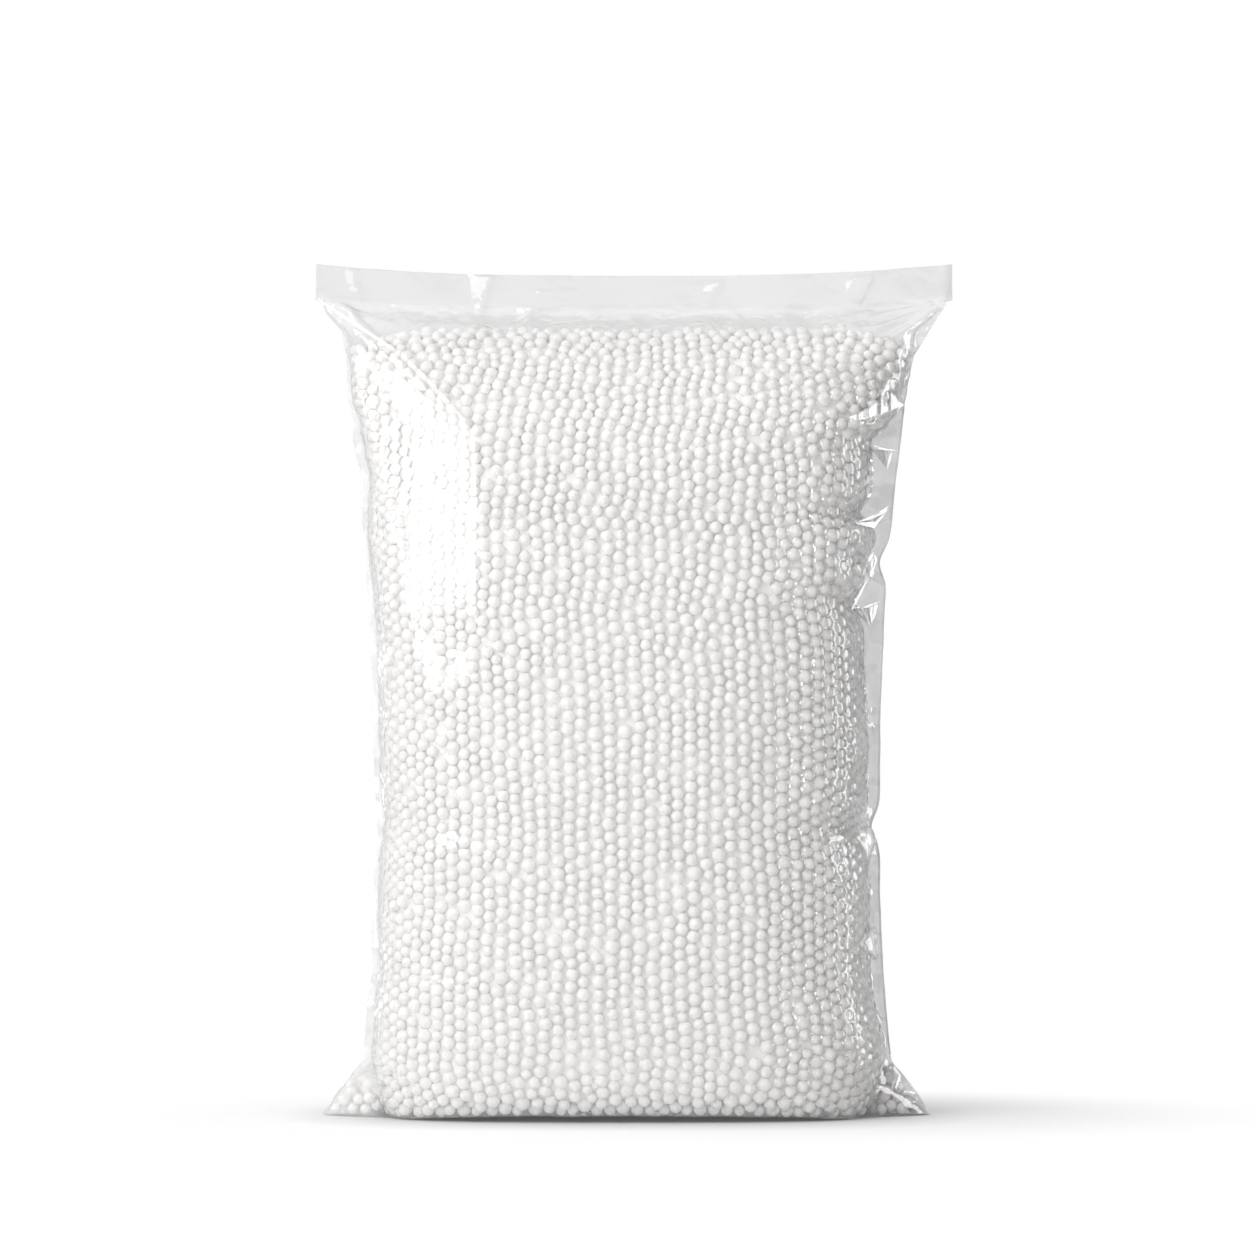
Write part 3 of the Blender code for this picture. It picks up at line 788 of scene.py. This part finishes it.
def film_rows():
    """All the film's points, row by row: the bottom, the sides up to the seal, and the header."""
    rows = []
    fx, fy = half_section(0.0, FRONT_COLUMNS)
    bx, by = half_section(0.0, BACK_COLUMNS)
    for share in BOTTOM_RINGS:
        rows.append(one_row((fx * share, -fy * share, 0 * fx), (bx * share, by * share, 0 * bx)))
    for height in heights:
        fx, fy = half_section(height, FRONT_COLUMNS)
        bx, by = half_section(height, BACK_COLUMNS)
        edge = float(fin_edge(height, 1))
        front_y = pulled_in(fx, -fy, height, tented=True)
        rows.append(one_row((fx + lean(height), front_y, height + sag(height, fx / edge)),
                            (bx + lean(height), by, height + sag(height, bx / edge))))
    for lift in np.linspace(0, HEADER_HEIGHT, HEADER_ROWS):
        plies = []
        for columns, side in ((FRONT_COLUMNS, -1), (BACK_COLUMNS, 1)):
            x, _ = half_section(SEAL_MIDDLE - 0.0004, columns)
            x = x / x[-1] * HEADER_HALF
            y = np.full_like(x, side * HEADER_PLY)
            y[0] = y[-1] = 0.0
            z = SEAL_MIDDLE + lift + HEADER_SAG * np.abs(x / HEADER_HALF) ** 3
            plies.append((x + HEADER_SHIFT, y, z))
        rows.append(one_row(*plies))
    rows = np.array(rows)
    rows[:, :, 2] += front_lift(rows[:, :, 0], rows[:, :, 1], rows[:, :, 2])
    return rows


film_points = film_rows()
ROWS, RING = film_points.shape[:2]
print(ROWS, "rows of", RING, "points")

flat_points = film_points.reshape(-1, 3)
flat_normal = outward_normals(film_points, (FRONT_COLUMNS + 2 * FIN_COLUMNS) // 2).reshape(-1, 3)

# %% Pressed by the beads
# How tightly the film clings: the radius in mm of the dome it makes over a bead. Large is taut and smooth.
TAUT, PLAIN, LOOSE, CLINGING = 120.0, 22.0, 7.0, 4.4
all_places = np.concatenate([bead_places, ears[-1][0], ears[1][0]])
all_radii = np.concatenate([seeds[:, 2], ears[-1][1], ears[1][1]])
tree_of_beads = search_tree(all_places)
SOFT = 0.7    # how softly the domes over neighbouring beads join
dip = np.zeros(len(flat_points))
near = np.zeros(len(flat_points))
for i, p in enumerate(flat_points):
    total, best = 0.0, 1.0
    for _co, j, distance in tree_of_beads.find_n(p, 3):
        square = (distance**2 - (all_radii[j] + SKIN_GAP) ** 2) / MM**2
        total += math.exp(-max(square, -1.0) / SOFT)
        best = min(best, distance - all_radii[j])
    dip[i] = -SOFT * math.log(max(total, 1e-30))
    near[i] = best
xm, ym, zm = (flat_points / MM).T
from_crease = CREASE_X - CREASE_SLOPE * np.maximum(zm - CREASE_Z, 0) - xm
ragged = 1.6 * np.sin(zm / 2.1) * np.sin(xm / 3.3 + zm / 4) + 1.2 * np.sin(zm / 1.3 + xm / 2)
past_band = from_crease + ragged - read_off(SMOOTH_BAND, zm)
taut = ease(from_crease, -2.0, -0.5) * (1 - ease(past_band, -1.0, 2.0))
cling = ease(xm, 42, 64) * (1 - ease(zm, 284, 292))
loose = 1 - ease(xm, -92, -78)
bend = 1 / PLAIN + (1 / LOOSE - 1 / PLAIN) * loose
bend = bend + (1 / CLINGING - bend) * cling
bend = bend + (1 / TAUT - bend) * taut
bend = np.where(ym > 0, 1 / PLAIN, bend)
touching = 1 - ease(near, 0.0010, 0.0026)
sink = np.clip(dip, 0, 6) / 2 * bend * MM * touching
print("film sinks up to", round(float(sink.max()) / MM, 2), "mm between the beads")

# %% Slack facets
FACET, FACET_HEIGHT, SMALL_FACET_HEIGHT = 0.011, 0.0010, 0.00045
# The film is slack near its folds, above the beads and, a little, near the floor: where each sets in.
NEAR_FOLD, ABOVE_BEADS, NEAR_FLOOR = (0.004, 0.020), (0.284, 0.297), (0.006, 0.030)


def facets(x, z, size, seed):
    """Heights of a crumpled sheet: random heights on a triangle grid, flat in between, -1 to 1."""
    own = np.random.default_rng(seed)
    grid = own.uniform(-1, 1, (96, 96))
    bent_x = x + 0.35 * size * np.sin(z / size * 1.7 + seed) + 0.2 * size * np.sin(x / size * 2.3)
    bent_z = z + 0.35 * size * np.sin(x / size * 1.3 + 2 * seed)
    v = bent_z / (size * 0.866)
    u = bent_x / size - 0.5 * v
    iu, iv = np.floor(u).astype(int), np.floor(v).astype(int)
    fu, fv = u - iu, v - iv

    def at(a, b):
        return grid[a % 96, b % 96]

    lower = at(iu, iv) * (1 - fu - fv) + at(iu + 1, iv) * fu + at(iu, iv + 1) * fv
    upper = at(iu + 1, iv + 1) * (fu + fv - 1) + at(iu, iv + 1) * (1 - fu) + at(iu + 1, iv) * (1 - fv)
    return np.where(fu + fv < 1, lower, upper)


x, y, z = flat_points.T
edge = np.where(x < 0, fin_edge(z, -1), fin_edge(z, 1))
from_edge = edge - np.abs(x - lean(z))
slack = 1 - ease(from_edge, *NEAR_FOLD)
slack = np.maximum(slack, 0.8 * ease(z, *ABOVE_BEADS))
slack = np.maximum(slack, 0.25 * (1 - ease(z, *NEAR_FLOOR)))
in_header = ease(z - sag(z, x / HEADER_HALF), SEAL_MIDDLE - 0.001, SEAL_MIDDLE + 0.003)
side_seed = np.where(y < 0, 0.0, 0.5)
crumple = FACET_HEIGHT * facets(x + side_seed, z, FACET, 3)
crumple = crumple + SMALL_FACET_HEIGHT * facets(x + side_seed, z, FACET * 0.45, 8)
crumple *= slack * (1 - in_header) * ease(from_edge, 0.0, 0.003)
print("slack film stands", round(float(np.abs(crumple).max()) / MM, 2), "mm off its shape")

# %% Creases
# Each is a run of points (x, z), its half width and its height, all in millimetres.
CREASES = [
    (((-117, 307), (-100, 293), (-78, 276), (-57, 257)), 3.0, 1.3),
    (((-117, 307), (-95, 300), (-74, 292)), 2.0, 0.9),
    (((-117, 307), (-104, 287), (-99, 272)), 2.2, 0.8),
    (((121, 307), (105, 296), (88, 287)), 2.4, 1.3),
    (((121, 307), (112, 292), (106, 282)), 2.2, 0.9),
    (((121, 306), (95, 297), (70, 295)), 1.8, 0.8),
    (((-102, 308), (-90, 304), (-79, 300)), 1.3, 0.6),
    (((-77, 304.7), (-69, 301), (-61, 297.5)), 1.3, 0.7),
    (((-37, 305), (-33, 302), (-27, 298.5)), 1.2, 0.6),
    (((-15.5, 302.8), (-12, 300), (-10, 298)), 1.2, 0.6),
    (((-2, 302.8), (1, 301), (4, 299.5)), 1.1, 0.5),
    (((40, 302.5), (42, 301), (44, 299)), 1.2, 0.6),
    (((92, 303), (84, 301), (76.6, 299.5)), 1.3, 0.7),
    (((113, 305), (96, 302), (79, 299.5)), 1.3, 0.7),
    (((94, 104), (86, 107), (76, 105), (66, 100)), 3.2, 1.2),
    (((-96, 111), (-86, 104), (-76, 97)), 2.6, 1.1),
]
# Where a fin is nipped, the film beside it is held out flat, in a facet with sharp corners. Each has its
# corners (x, z) in mm, and how far it is turned away, in degrees, from where it would mirror the narrow lamp
# at the right.
EYE = Vector((0.0, -2.5, 0.184))
NARROW_LAMP = Vector((1.0, 0.02, 0.40))
FACET_OUT = 1.2    # how far in mm a facet's middle stands off the bag
FACETS = [
    (((84, 106), (91, 108), (92.5, 103), (90.5, 97), (88, 102)), 0),
    (((88, 66), (92.5, 70), (93.5, 60), (90.5, 62)), 2),
]


def mirror(corners, y0, lamp_at, turned):
    """A flat piece of film through the middle of its corners that shows a lamp to the eye, or is turned some
    degrees from that: the way it faces, and its y in mm at any x and z."""
    x0, z0 = np.mean(corners, axis=0)
    middle = Vector((x0, y0, z0)) * MM
    facing = ((EYE - middle).normalized() + (lamp_at - middle).normalized()).normalized()
    facing.rotate(Matrix.Rotation(math.radians(turned), 3, "Z"))
    return facing, lambda x, z: middle.y / MM - (facing.x * (x - x0) + facing.z * (z - z0)) / facing.y


def ridge(x, z, points, half_width, height):
    """Height of a crease over each point: highest along its line, and lower toward its far end."""
    best = np.full(len(x), 1e9)
    share = np.zeros(len(x))
    lengths = [math.dist(a, b) for a, b in zip(points, points[1:])]
    done = 0.0
    for (a, b), length in zip(zip(points, points[1:]), lengths):
        dx, dz = b[0] - a[0], b[1] - a[1]
        t = np.clip(((x - a[0]) * dx + (z - a[1]) * dz) / length**2, 0, 1)
        distance = np.hypot(x - a[0] - t * dx, z - a[1] - t * dz)
        closer = distance < best
        best = np.where(closer, distance, best)
        share = np.where(closer, (done + t * length) / sum(lengths), share)
        done += length
    taper = np.clip(1.15 - share, 0, 1) * np.clip(share * 8 + 0.3, 0, 1)
    return height * np.clip(1 - best / (half_width * (0.5 + 0.7 * (1 - share))), 0, 1) * taper


raised = np.zeros(len(x))
for points, half_width, height in CREASES:
    raised = np.maximum(raised, ridge(xm, zm, points, half_width, height))
raised *= MM * (y < 0.004)
held = np.zeros(len(x))
held_y = np.zeros(len(x))
for corners, turned in FACETS:
    share = ease(inside_by(xm, zm, corners), -0.8, 0.3) * (ym <= 0.01)
    x0, z0 = np.mean(corners, axis=0)
    nearest = np.argmin((xm - x0) ** 2 + (zm - z0) ** 2 + 1e6 * (ym > -0.5))
    _facing, y_at = mirror(corners, ym[nearest] - FACET_OUT, NARROW_LAMP, turned)
    held_y = np.where(share > held, np.minimum(y_at(xm, zm), 1.0), held_y)
    held = np.maximum(held, share)
tight = np.maximum(np.clip(raised / (0.4 * MM), 0, 1), held)
move = -sink * (1 - tight) + crumple * (1 - tight) + raised
print("creases stand up to", round(float(raised.max()) / MM, 2), "mm high")

# %% The side fins' own pleats
# A fin is front and back film lying together, so both move front and back as one sheet, in flat pleats.
PLEAT_SIZE, PLEAT_HEIGHT = 0.0090, 0.0046
fin = 0.0015 + np.where(x < 0, *(read_off(FIN_REACH[side], z) for side in (-1, 1)))
in_fin = 1 - ease(from_edge, 0.3 * fin, 1.25 * fin)
fin_shift = PLEAT_HEIGHT * facets(np.sign(x) * 0.3 + x * 0.6, z, PLEAT_SIZE, 31) * in_fin
fin_shift *= ease(z, 0.002, 0.012) * (1 - in_header)

# %% The header's own waves
# The header is a flat flap, so it moves front and back as one sheet and keeps its edges.
wave = 0.0009 * np.sin(xm / 17 + 0.6) + 0.0006 * np.sin(xm / 7.3 + zm / 9)
wave = wave + 0.0007 * facets(x, z, 0.016, 21)
shift_y = wave * in_header
# Flat folds in the header: outline (x, z) in mm, and how far the fold's right side comes forward, in mm.
FLAPS = [
    (((-60, 317), (-51, 316), (-55, 302)), 2.6),
    (((-107, 318.5), (-102, 319), (-101, 308), (-105, 310)), 1.7),
    (((-8, 313), (-5, 316), (-4, 310)), 1.0),
    (((25.5, 313), (36, 314.5), (31, 305)), 2.6),
    (((-42, 306), (-35, 304), (-38, 300)), 1.6),
    (((86, 316), (93, 317), (88, 307), (80, 309)), 2.2),
    (((-34, 310.5), (-31, 310.8), (-33, 308)), 0.9),
]
flap = np.zeros(len(x))
for outline, rise in FLAPS:
    inside = inside_by(xm, zm, outline)
    low, high = min(c[0] for c in outline), max(c[0] for c in outline)
    flap = np.where(inside > -0.4, np.minimum(flap, -rise * np.clip((xm - low) / (high - low), 0, 1)), flap)
shift_y = shift_y + flap * MM

# %% The film as a mesh
moved = flat_points + flat_normal * (move * (1 - in_header))[:, None]
moved[:, 1] += (held_y * MM - moved[:, 1]) * held
moved[:, 1] += shift_y + fin_shift * (1 - held)
on_floor = flat_points[:, 2] < 0.0005
moved[:, 2] = np.where(on_floor, flat_points[:, 2], np.maximum(moved[:, 2], 0.0003))
grid = np.arange(ROWS * RING).reshape(ROWS, RING)
right = np.roll(grid, -1, axis=1)
quads = np.stack([grid[:-1], right[:-1], right[1:], grid[1:]], -1).reshape(-1, 4)
film_data = bpy.data.meshes.new("film_skin")
film_data.from_pydata(moved.tolist(), [], quads.tolist())
film_mesh = bmesh.new()
film_mesh.from_mesh(film_data)
bmesh.ops.holes_fill(film_mesh, edges=[e for e in film_mesh.edges if len(e.link_faces) == 1], sides=0)
bmesh.ops.recalc_face_normals(film_mesh, faces=film_mesh.faces)
for rim in film_mesh.edges:
    if min(v.co.z for v in rim.verts) > 0.003 and rim.calc_face_angle(0) > 1.5:
        rim.smooth = False
film_mesh.to_mesh(film_data)
film_mesh.free()
film_data.shade_smooth()
print(len(film_data.vertices), "points in the film")

# %% What the film's finish reads, point by point
# How clouded it is: everywhere a little, and more at the foot, in the left fin and ear, and above the beads.
CLOUD, FOOT_CLOUD, FIN_CLOUD, EAR_CLOUD, TOP_CLOUD = 0.09, 0.12, 0.30, 0.22, 0.16
UNDER_SEAL = (0.288, 0.297)
cloud = CLOUD + FOOT_CLOUD * (1 - ease(z, 0.006, 0.050)) * (y < 0) * (1 - ease(np.abs(x), 0.070, 0.096))
left_ear = ease(-x, 0.090, 0.097) * (1 - ease(z, 0.012, 0.028))
cloud = cloud + (x < 0) * np.maximum(FIN_CLOUD * in_fin * (1 - in_header), EAR_CLOUD * left_ear)
cloud = cloud + TOP_CLOUD * ease(z, *UNDER_SEAL) * (1 - in_header)
# How closely wrapped: most at the right, half as much at the left, and nowhere that it is flat.
wrapping = (0.9 * cling + 0.45 * loose * ease(z, 0.02, 0.04)) * (1 - taut) * (1 - held) * (ym < 0)
# How much painted shade darkens the film: the right fin, dark lines along its edge and its root and round the
# facets, and the far right, the side that lies in shade.
painted_shade = 0.20 * in_fin * (x > 0)
for band, strength in ((np.abs(from_edge - 0.0003), 0.7), (np.abs(from_edge - fin), 0.4)):
    in_band = (1 - ease(band, 0.0001, 0.0006)) * (x > 0) * (z < 0.290) * (z > 0.02)
    painted_shade = np.maximum(painted_shade, strength * in_band)
for corners, _turned in FACETS:
    rim_of = np.abs(inside_by(xm, zm, corners) + 0.9)
    painted_shade = np.maximum(painted_shade, 0.7 * (1 - ease(rim_of, 0.1, 0.7)) * (ym <= 0.01))
far_right_painted_shade = ease(xm, 68, 80) * ease(zm, 75, 110) * (1 - ease(zm, 280, 290)) * (ym < 0.01)
painted_shade = np.maximum(painted_shade, 0.16 * far_right_painted_shade)
painted_shade *= 1 - held
# How slack, and how much it gleams: less in the header, and less at the left, where it lies on the beads.
slackness = np.maximum(ease(z, 0.288, 0.298) * (1 - 0.6 * in_header), 0.3 * in_fin)
gleam = 1 - 0.50 * in_header - 0.22 * taut - 0.12 * loose * (1 - taut)
for name, values in (("clouded", cloud), ("wrapped", wrapping), ("painted_shade", painted_shade), ("slack", slackness),
                     ("gleam", gleam)):
    store(film_data, name, values)
centres = np.empty(3 * len(film_data.polygons))
film_data.polygons.foreach_get("center", centres)
nearest_bead = np.array([tree_of_beads.find(c)[1] for c in centres.reshape(-1, 3)])
store(film_data, "bead_at", all_places[nearest_bead], "FACE")
store(film_data, "bead_size", all_radii[nearest_bead], "FACE")
film_data.materials.append(film_finish)
film_skin = stand("film_skin", film_data)
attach(film_skin, "root")
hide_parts("film_bag")
film_data.calc_loop_triangles()
print("film:", len(film_data.loop_triangles), "triangles")

# %% Tucks in the film
# Where the side fold is nipped, the film is tucked over itself, in flat pieces with sharp corners. They are
# what shines there. Each has its corners (x, z) in mm and how far it is turned, in degrees, from where it
# would mirror a lamp: the narrow one at the nips, and the key light along the fold from the left corner.
KEY_LAMP = Vector((-1.0, -1.22, 0.86))
NIP_TUCKS = [
    (((83, 262.3), (86.1, 260.9), (93.8, 263.3), (94.0, 268.8), (91.2, 266)), 0),
    (((93.8, 263.3), (94.9, 263.7), (95.2, 270.7), (94.0, 268.8)), 5.5),
    (((94.9, 263.7), (98.2, 264.9), (98.3, 273.4), (97.6, 275.4), (95.2, 270.7)), 1),
    (((98.2, 264.9), (98.9, 265.2), (98.9, 272.0), (98.3, 273.4)), 6),
    (((98.9, 265.2), (104.3, 267.4), (101.9, 268.7), (98.9, 272.0)), -1),
    (((90.8, 252.2), (96.6, 251.4), (102.4, 250.3), (96.4, 250.7)), 0),
    (((91.8, 251.0), (98.3, 250.4), (97.9, 243.7)), 7),
    (((97.7, 243.2), (99.4, 246.8), (99.9, 250.1), (98.7, 248.2)), 1),
    (((95.0, 246.6), (96.2, 250.3), (95.3, 250.5)), 1),
    (((85.1, 222.8), (92.4, 226.0), (98.5, 229.6), (98.0, 227.6), (93.0, 224.8)), 0),
    (((85.1, 222.6), (92.8, 221.0), (94.4, 223.4), (89.6, 223.3)), 1),
    (((94.0, 222.4), (97.6, 226.9), (96.4, 226.3), (93.6, 223.9)), 0),
    (((89.0, 223.5), (94.2, 223.5), (96.6, 226.6), (93.0, 224.8)), 6),
    (((90.3, 208.7), (92.8, 212.3), (92.6, 210.6), (91.2, 208.6)), 0),
    (((93.0, 212.1), (94.6, 209.4), (92.9, 205.3), (93.6, 209.3)), 2),
    (((92.4, 206.2), (93.1, 205.7), (84.5, 190.4), (83.9, 190.8)), 1),
    (((83.8, 191.1), (90.0, 192.0), (96.1, 193.9), (90.4, 191.2)), 0),
    (((84.6, 190.8), (88.2, 191.0), (91.2, 185.4), (87.4, 187.8)), 6),
    (((88.4, 191.1), (89.8, 191.3), (91.7, 184.9), (91.2, 185.3)), 0),
    (((90.1, 191.3), (91.3, 191.5), (92.1, 185.6), (91.8, 185.0)), 6),
    (((91.4, 191.6), (92.7, 191.8), (92.6, 186.0), (92.1, 185.6)), 1),
    (((93.2, 192.1), (94.9, 192.6), (93.3, 187.4), (92.6, 186.4)), 0),
    (((100.7, 10.3), (102.6, 15.9), (102.7, 13.6), (101.5, 10.5)), 0),
    (((102.8, 15.5), (103.7, 10.1), (103.0, 10.3), (102.5, 13.0)), 2),
    (((104.0, 9.4), (108.4, 8.9), (108.5, 8.2), (104.3, 8.6)), 0),
]
CORNER_TUCKS = [
    (((-116.8, 308.4), (-101.0, 297.8), (-101.6, 296.6), (-116.2, 306.6)), 0),
    (((-101.0, 297.8), (-84.3, 286.8), (-85.0, 285.4), (-101.6, 296.6)), 2),
    (((-84.3, 286.8), (-70.5, 273.2), (-71.9, 272.0), (-85.0, 285.4)), 0),
    (((-70.5, 273.2), (-59.6, 260.6), (-61.4, 259.8), (-71.9, 272.0)), 0),
]
TUCK_THICKNESS = 0.00012
TUCK_GAP = 0.2    # between a tuck and the skin behind it, in mm
TUCK_SLICE = 4.0    # each is cut into pleats up to this wide in mm, so that none stands far off the bag
MERGE = 0.03    # corners closer than this in mm are one


def between(corners, low, high):
    """The part of a flat outline between two values of x."""
    for limit, sign in ((low, 1), (high, -1)):
        kept = []
        for (ax, az), (bx, bz) in zip(corners, corners[1:] + corners[:1]):
            if sign * (ax - limit) >= 0:
                kept.append((ax, az))
            if (sign * (ax - limit) >= 0) != (sign * (bx - limit) >= 0):
                kept.append((limit, az + (limit - ax) / (bx - ax) * (bz - az)))
        corners = [c for n, c in enumerate(kept) if math.dist(c, kept[n - 1]) > MERGE]
    return corners


def pleats(outline):
    """The outline of a tuck, cut into slices."""
    low, high = min(c[0] for c in outline), max(c[0] for c in outline)
    cuts = np.linspace(low, high, math.ceil((high - low) / TUCK_SLICE) + 1)
    slices = [between(list(outline), *pair) for pair in zip(cuts, cuts[1:])]
    return [corners for corners in slices if len(corners) > 2]


def add_pleat(mesh, corners, lamp_at, turned):
    """A thin flat plate in front of the skin that mirrors a lamp."""
    skin_y = [skin[np.argmin(np.hypot(skin[:, 0] - cx, skin[:, 2] - cz)), 1] for cx, cz in corners]
    facing, y_at = mirror(corners, np.mean(skin_y), lamp_at, turned)
    out_by = max(0.0, max(y_at(*c) - s for c, s in zip(corners, skin_y))) + TUCK_GAP
    front = [mesh.verts.new((cx * MM, (y_at(cx, cz) - out_by) * MM, cz * MM)) for cx, cz in corners]
    back = [mesh.verts.new(v.co - facing * TUCK_THICKNESS) for v in front]
    mesh.faces.new(front)
    mesh.faces.new(list(reversed(back)))
    for n in range(len(front)):
        mesh.faces.new((front[n], back[n], back[n - 1], front[n - 1]))


skin = moved[moved[:, 1] < 0.0005] / MM
tuck_mesh = bmesh.new()
for lamp_at, tucks in ((NARROW_LAMP, NIP_TUCKS), (KEY_LAMP, CORNER_TUCKS)):
    for outline, turned in tucks:
        for corners in pleats(outline):
            add_pleat(tuck_mesh, corners, lamp_at, turned)
bmesh.ops.recalc_face_normals(tuck_mesh, faces=tuck_mesh.faces)
tuck_data = bpy.data.meshes.new("film_tucks")
tuck_mesh.to_mesh(tuck_data)
tuck_mesh.free()
store(tuck_data, "gleam", np.ones(len(tuck_data.vertices)))
tuck_data.materials.append(film_finish)
film_tucks = stand("film_tucks", tuck_data)
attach(film_tucks, "root")
print(len(NIP_TUCKS) + len(CORNER_TUCKS), "tucks")

# %% [markdown]
# ## Floor, light and camera
#
# The bag stands in a white studio. A tall soft box at the left is the key light and draws the bright band in
# the film, a weaker one from above and in front fills the face, and the right side falls off into grey. The
# camera looks level through a long lens.

# %% The floor and the room
FLOOR_HALF = 6.0
PAPER, PAPER_SEEN, PAPER_SHADED = "F4F4F4", "EAEAEA", "909090"
# Seen directly or mirrored, the paper is plain white from this far out, and nearer the bag it keeps its
# shadow.
SHADOW_AT, SHADOW_FROM, SHADOW_TO, WHITE_IN_SHADOW = (-0.03, 0.0, 0.0), 0.09, 0.23, 0.32
# Painted shade close beside the bag, from ambient occlusion: how far it reaches and its darkest level.
CORNER_REACH, CORNER_SHADE = 0.04, 0.20

floor_data = bpy.data.meshes.new("floor")
floor_data.from_pydata([(a * FLOOR_HALF, b * FLOOR_HALF, 0) for a, b in ((-1, -1), (1, -1), (1, 1), (-1, 1))],
                       [], [(0, 1, 2, 3)])
floor = stand("floor", floor_data)
paper, tree = new_material("white_studio_paper")
where = add(tree, "ShaderNodeTexCoord").outputs["Object"]
where = add(tree, "ShaderNodeVectorMath", {0: where}, {1: (1.0, 1.5, 1.0), 2: SHADOW_AT},
            operation="MULTIPLY_ADD")
reach = add(tree, "ShaderNodeVectorMath", {0: where}, operation="LENGTH")
fade = add(tree, "ShaderNodeMapRange", {"Value": reach},
           {"From Min": SHADOW_FROM, "From Max": SHADOW_TO, "To Min": WHITE_IN_SHADOW, "To Max": 1.0},
           interpolation_type="SMOOTHSTEP")
path = add(tree, "ShaderNodeLightPath").outputs
seen = path["Is Camera Ray"]
for way in ("Is Glossy Ray", "Is Transmission Ray"):
    seen = add(tree, "ShaderNodeMath", {0: seen, 1: path[way]}, operation="MAXIMUM")
share = add(tree, "ShaderNodeMath", {0: seen, 1: fade}, operation="MULTIPLY")
# Close beside the bag the paper is darkened by ambient occlusion, a painted shade as in a corner: it darkens
# the paper's colour for the eye and dims its white glow.
corner = add(tree, "ShaderNodeAmbientOcclusion", values={"Distance": CORNER_REACH}, samples=8).outputs["AO"]
corner = add(tree, "ShaderNodeMapRange", {"Value": corner}, {"To Min": CORNER_SHADE, "To Max": 1.0})
shaded = add(tree, "ShaderNodeMix", {"Factor": corner}, {"A": linear(PAPER_SHADED), "B": linear(PAPER_SEEN)},
             data_type="RGBA")
tone = add(tree, "ShaderNodeMix", {"Factor": path["Is Camera Ray"], "B": shaded}, {"A": linear(PAPER)},
           data_type="RGBA")
matte = add(tree, "ShaderNodeBsdfDiffuse", {"Color": tone})
white = add(tree, "ShaderNodeEmission", {"Strength": corner}, {"Color": linear("FFFFFF")})
mix = add(tree, "ShaderNodeMixShader", {0: share, 1: matte, 2: white})
add(tree, "ShaderNodeOutputMaterial", {"Surface": mix})
floor_data.materials.append(paper)

world = bpy.data.worlds.new("white_studio")
bpy.context.scene.world = world
bpy.context.scene.cycles.diffuse_bounces = 5    # white beads pass light on to each other several times
world.use_nodes = True
tree = world.node_tree
tree.nodes.clear()
# The room is paler at the left than at the right. The backdrop behind the bag is white for the eye and in
# mirrored and clear things, and so are the floor and the ceiling in the film's reflections.
ROOM_LEFT, ROOM_RIGHT = 0.92, 0.04
toward = add(tree, "ShaderNodeSeparateXYZ", {0: add(tree, "ShaderNodeTexCoord").outputs["Generated"]}).outputs
room = add(tree, "ShaderNodeMapRange", {"Value": toward["X"]},
           {"From Min": -0.9, "From Max": 0.9, "To Min": ROOM_LEFT, "To Max": ROOM_RIGHT})
path = add(tree, "ShaderNodeLightPath").outputs
sweep = add(tree, "ShaderNodeMapRange", {"Value": toward["Y"]}, {"From Min": 0.1, "From Max": 0.6})
for first, last, at_first, at_last in ((0.0, 0.40, 1.0, 0.0), (0.35, 0.95, 0.0, 1.0)):
    level = add(tree, "ShaderNodeMapRange", {"Value": toward["Z"]},
                {"From Min": first, "From Max": last, "To Min": at_first, "To Max": at_last},
                interpolation_type="SMOOTHSTEP")
    sweep = add(tree, "ShaderNodeMath", {0: sweep, 1: level}, operation="MAXIMUM")
mirrored = add(tree, "ShaderNodeMath", {0: path["Is Glossy Ray"], 1: sweep}, operation="MULTIPLY")
seen = path["Is Camera Ray"]
for way in (path["Is Transmission Ray"], mirrored):
    seen = add(tree, "ShaderNodeMath", {0: seen, 1: way}, operation="MAXIMUM")
level = add(tree, "ShaderNodeMix", {"Factor": seen, "A": room}, {"B": 1.0})
back = add(tree, "ShaderNodeBackground", {"Strength": level}, {"Color": linear("FFFFFF")})
add(tree, "ShaderNodeOutputWorld", {"Surface": back})

# %% The lamps


def soft_box(name, centre, width, height, toward, glow):
    """A rectangular lamp. glow is how bright its face looks, where 1 is white."""
    lamp = bpy.data.lights.new(name, "AREA")
    lamp.shape = "RECTANGLE"
    lamp.size, lamp.size_y = width, height
    lamp.energy = glow * math.pi * width * height
    holder = stand(name, lamp)
    holder.location = centre
    holder.rotation_euler = Vector(toward).to_track_quat("-Z", "Y").to_euler()
    return holder


soft_box("key_left", KEY_LAMP, 1.40, 1.30, (1, 0, 0), 3.3)
soft_box("key_shine", KEY_LAMP, 1.40, 1.30, (1, 0, 0), 1.5).visible_diffuse = False
soft_box("top_fill", (-0.2, -0.70, 1.60), 1.60, 1.60, (0, 0, -1), 1.85).visible_glossy = False
soft_box("front_fill", (-1.05, -2.10, 0.70), 1.40, 0.90, (0.46, 1, -0.20), 2.5).visible_glossy = False
soft_box("low_fill", (-0.1, -1.30, 0.10), 1.40, 0.16, (0.05, 1, 0.05), 2.2).visible_glossy = False
soft_box("narrow_right", NARROW_LAMP, 0.34, 0.90, (-1, -0.02, 0), 4.6).visible_diffuse = False

# %% The camera
camera_data = bpy.data.cameras.new("camera")
camera_data.sensor_width = 36.0
camera_data.lens = 190.2
camera = stand("camera", camera_data)
camera.location = EYE
camera.rotation_euler = (math.pi / 2, 0, 0)
bpy.context.scene.camera = camera
bpy.context.scene.view_settings.view_transform = "Standard"
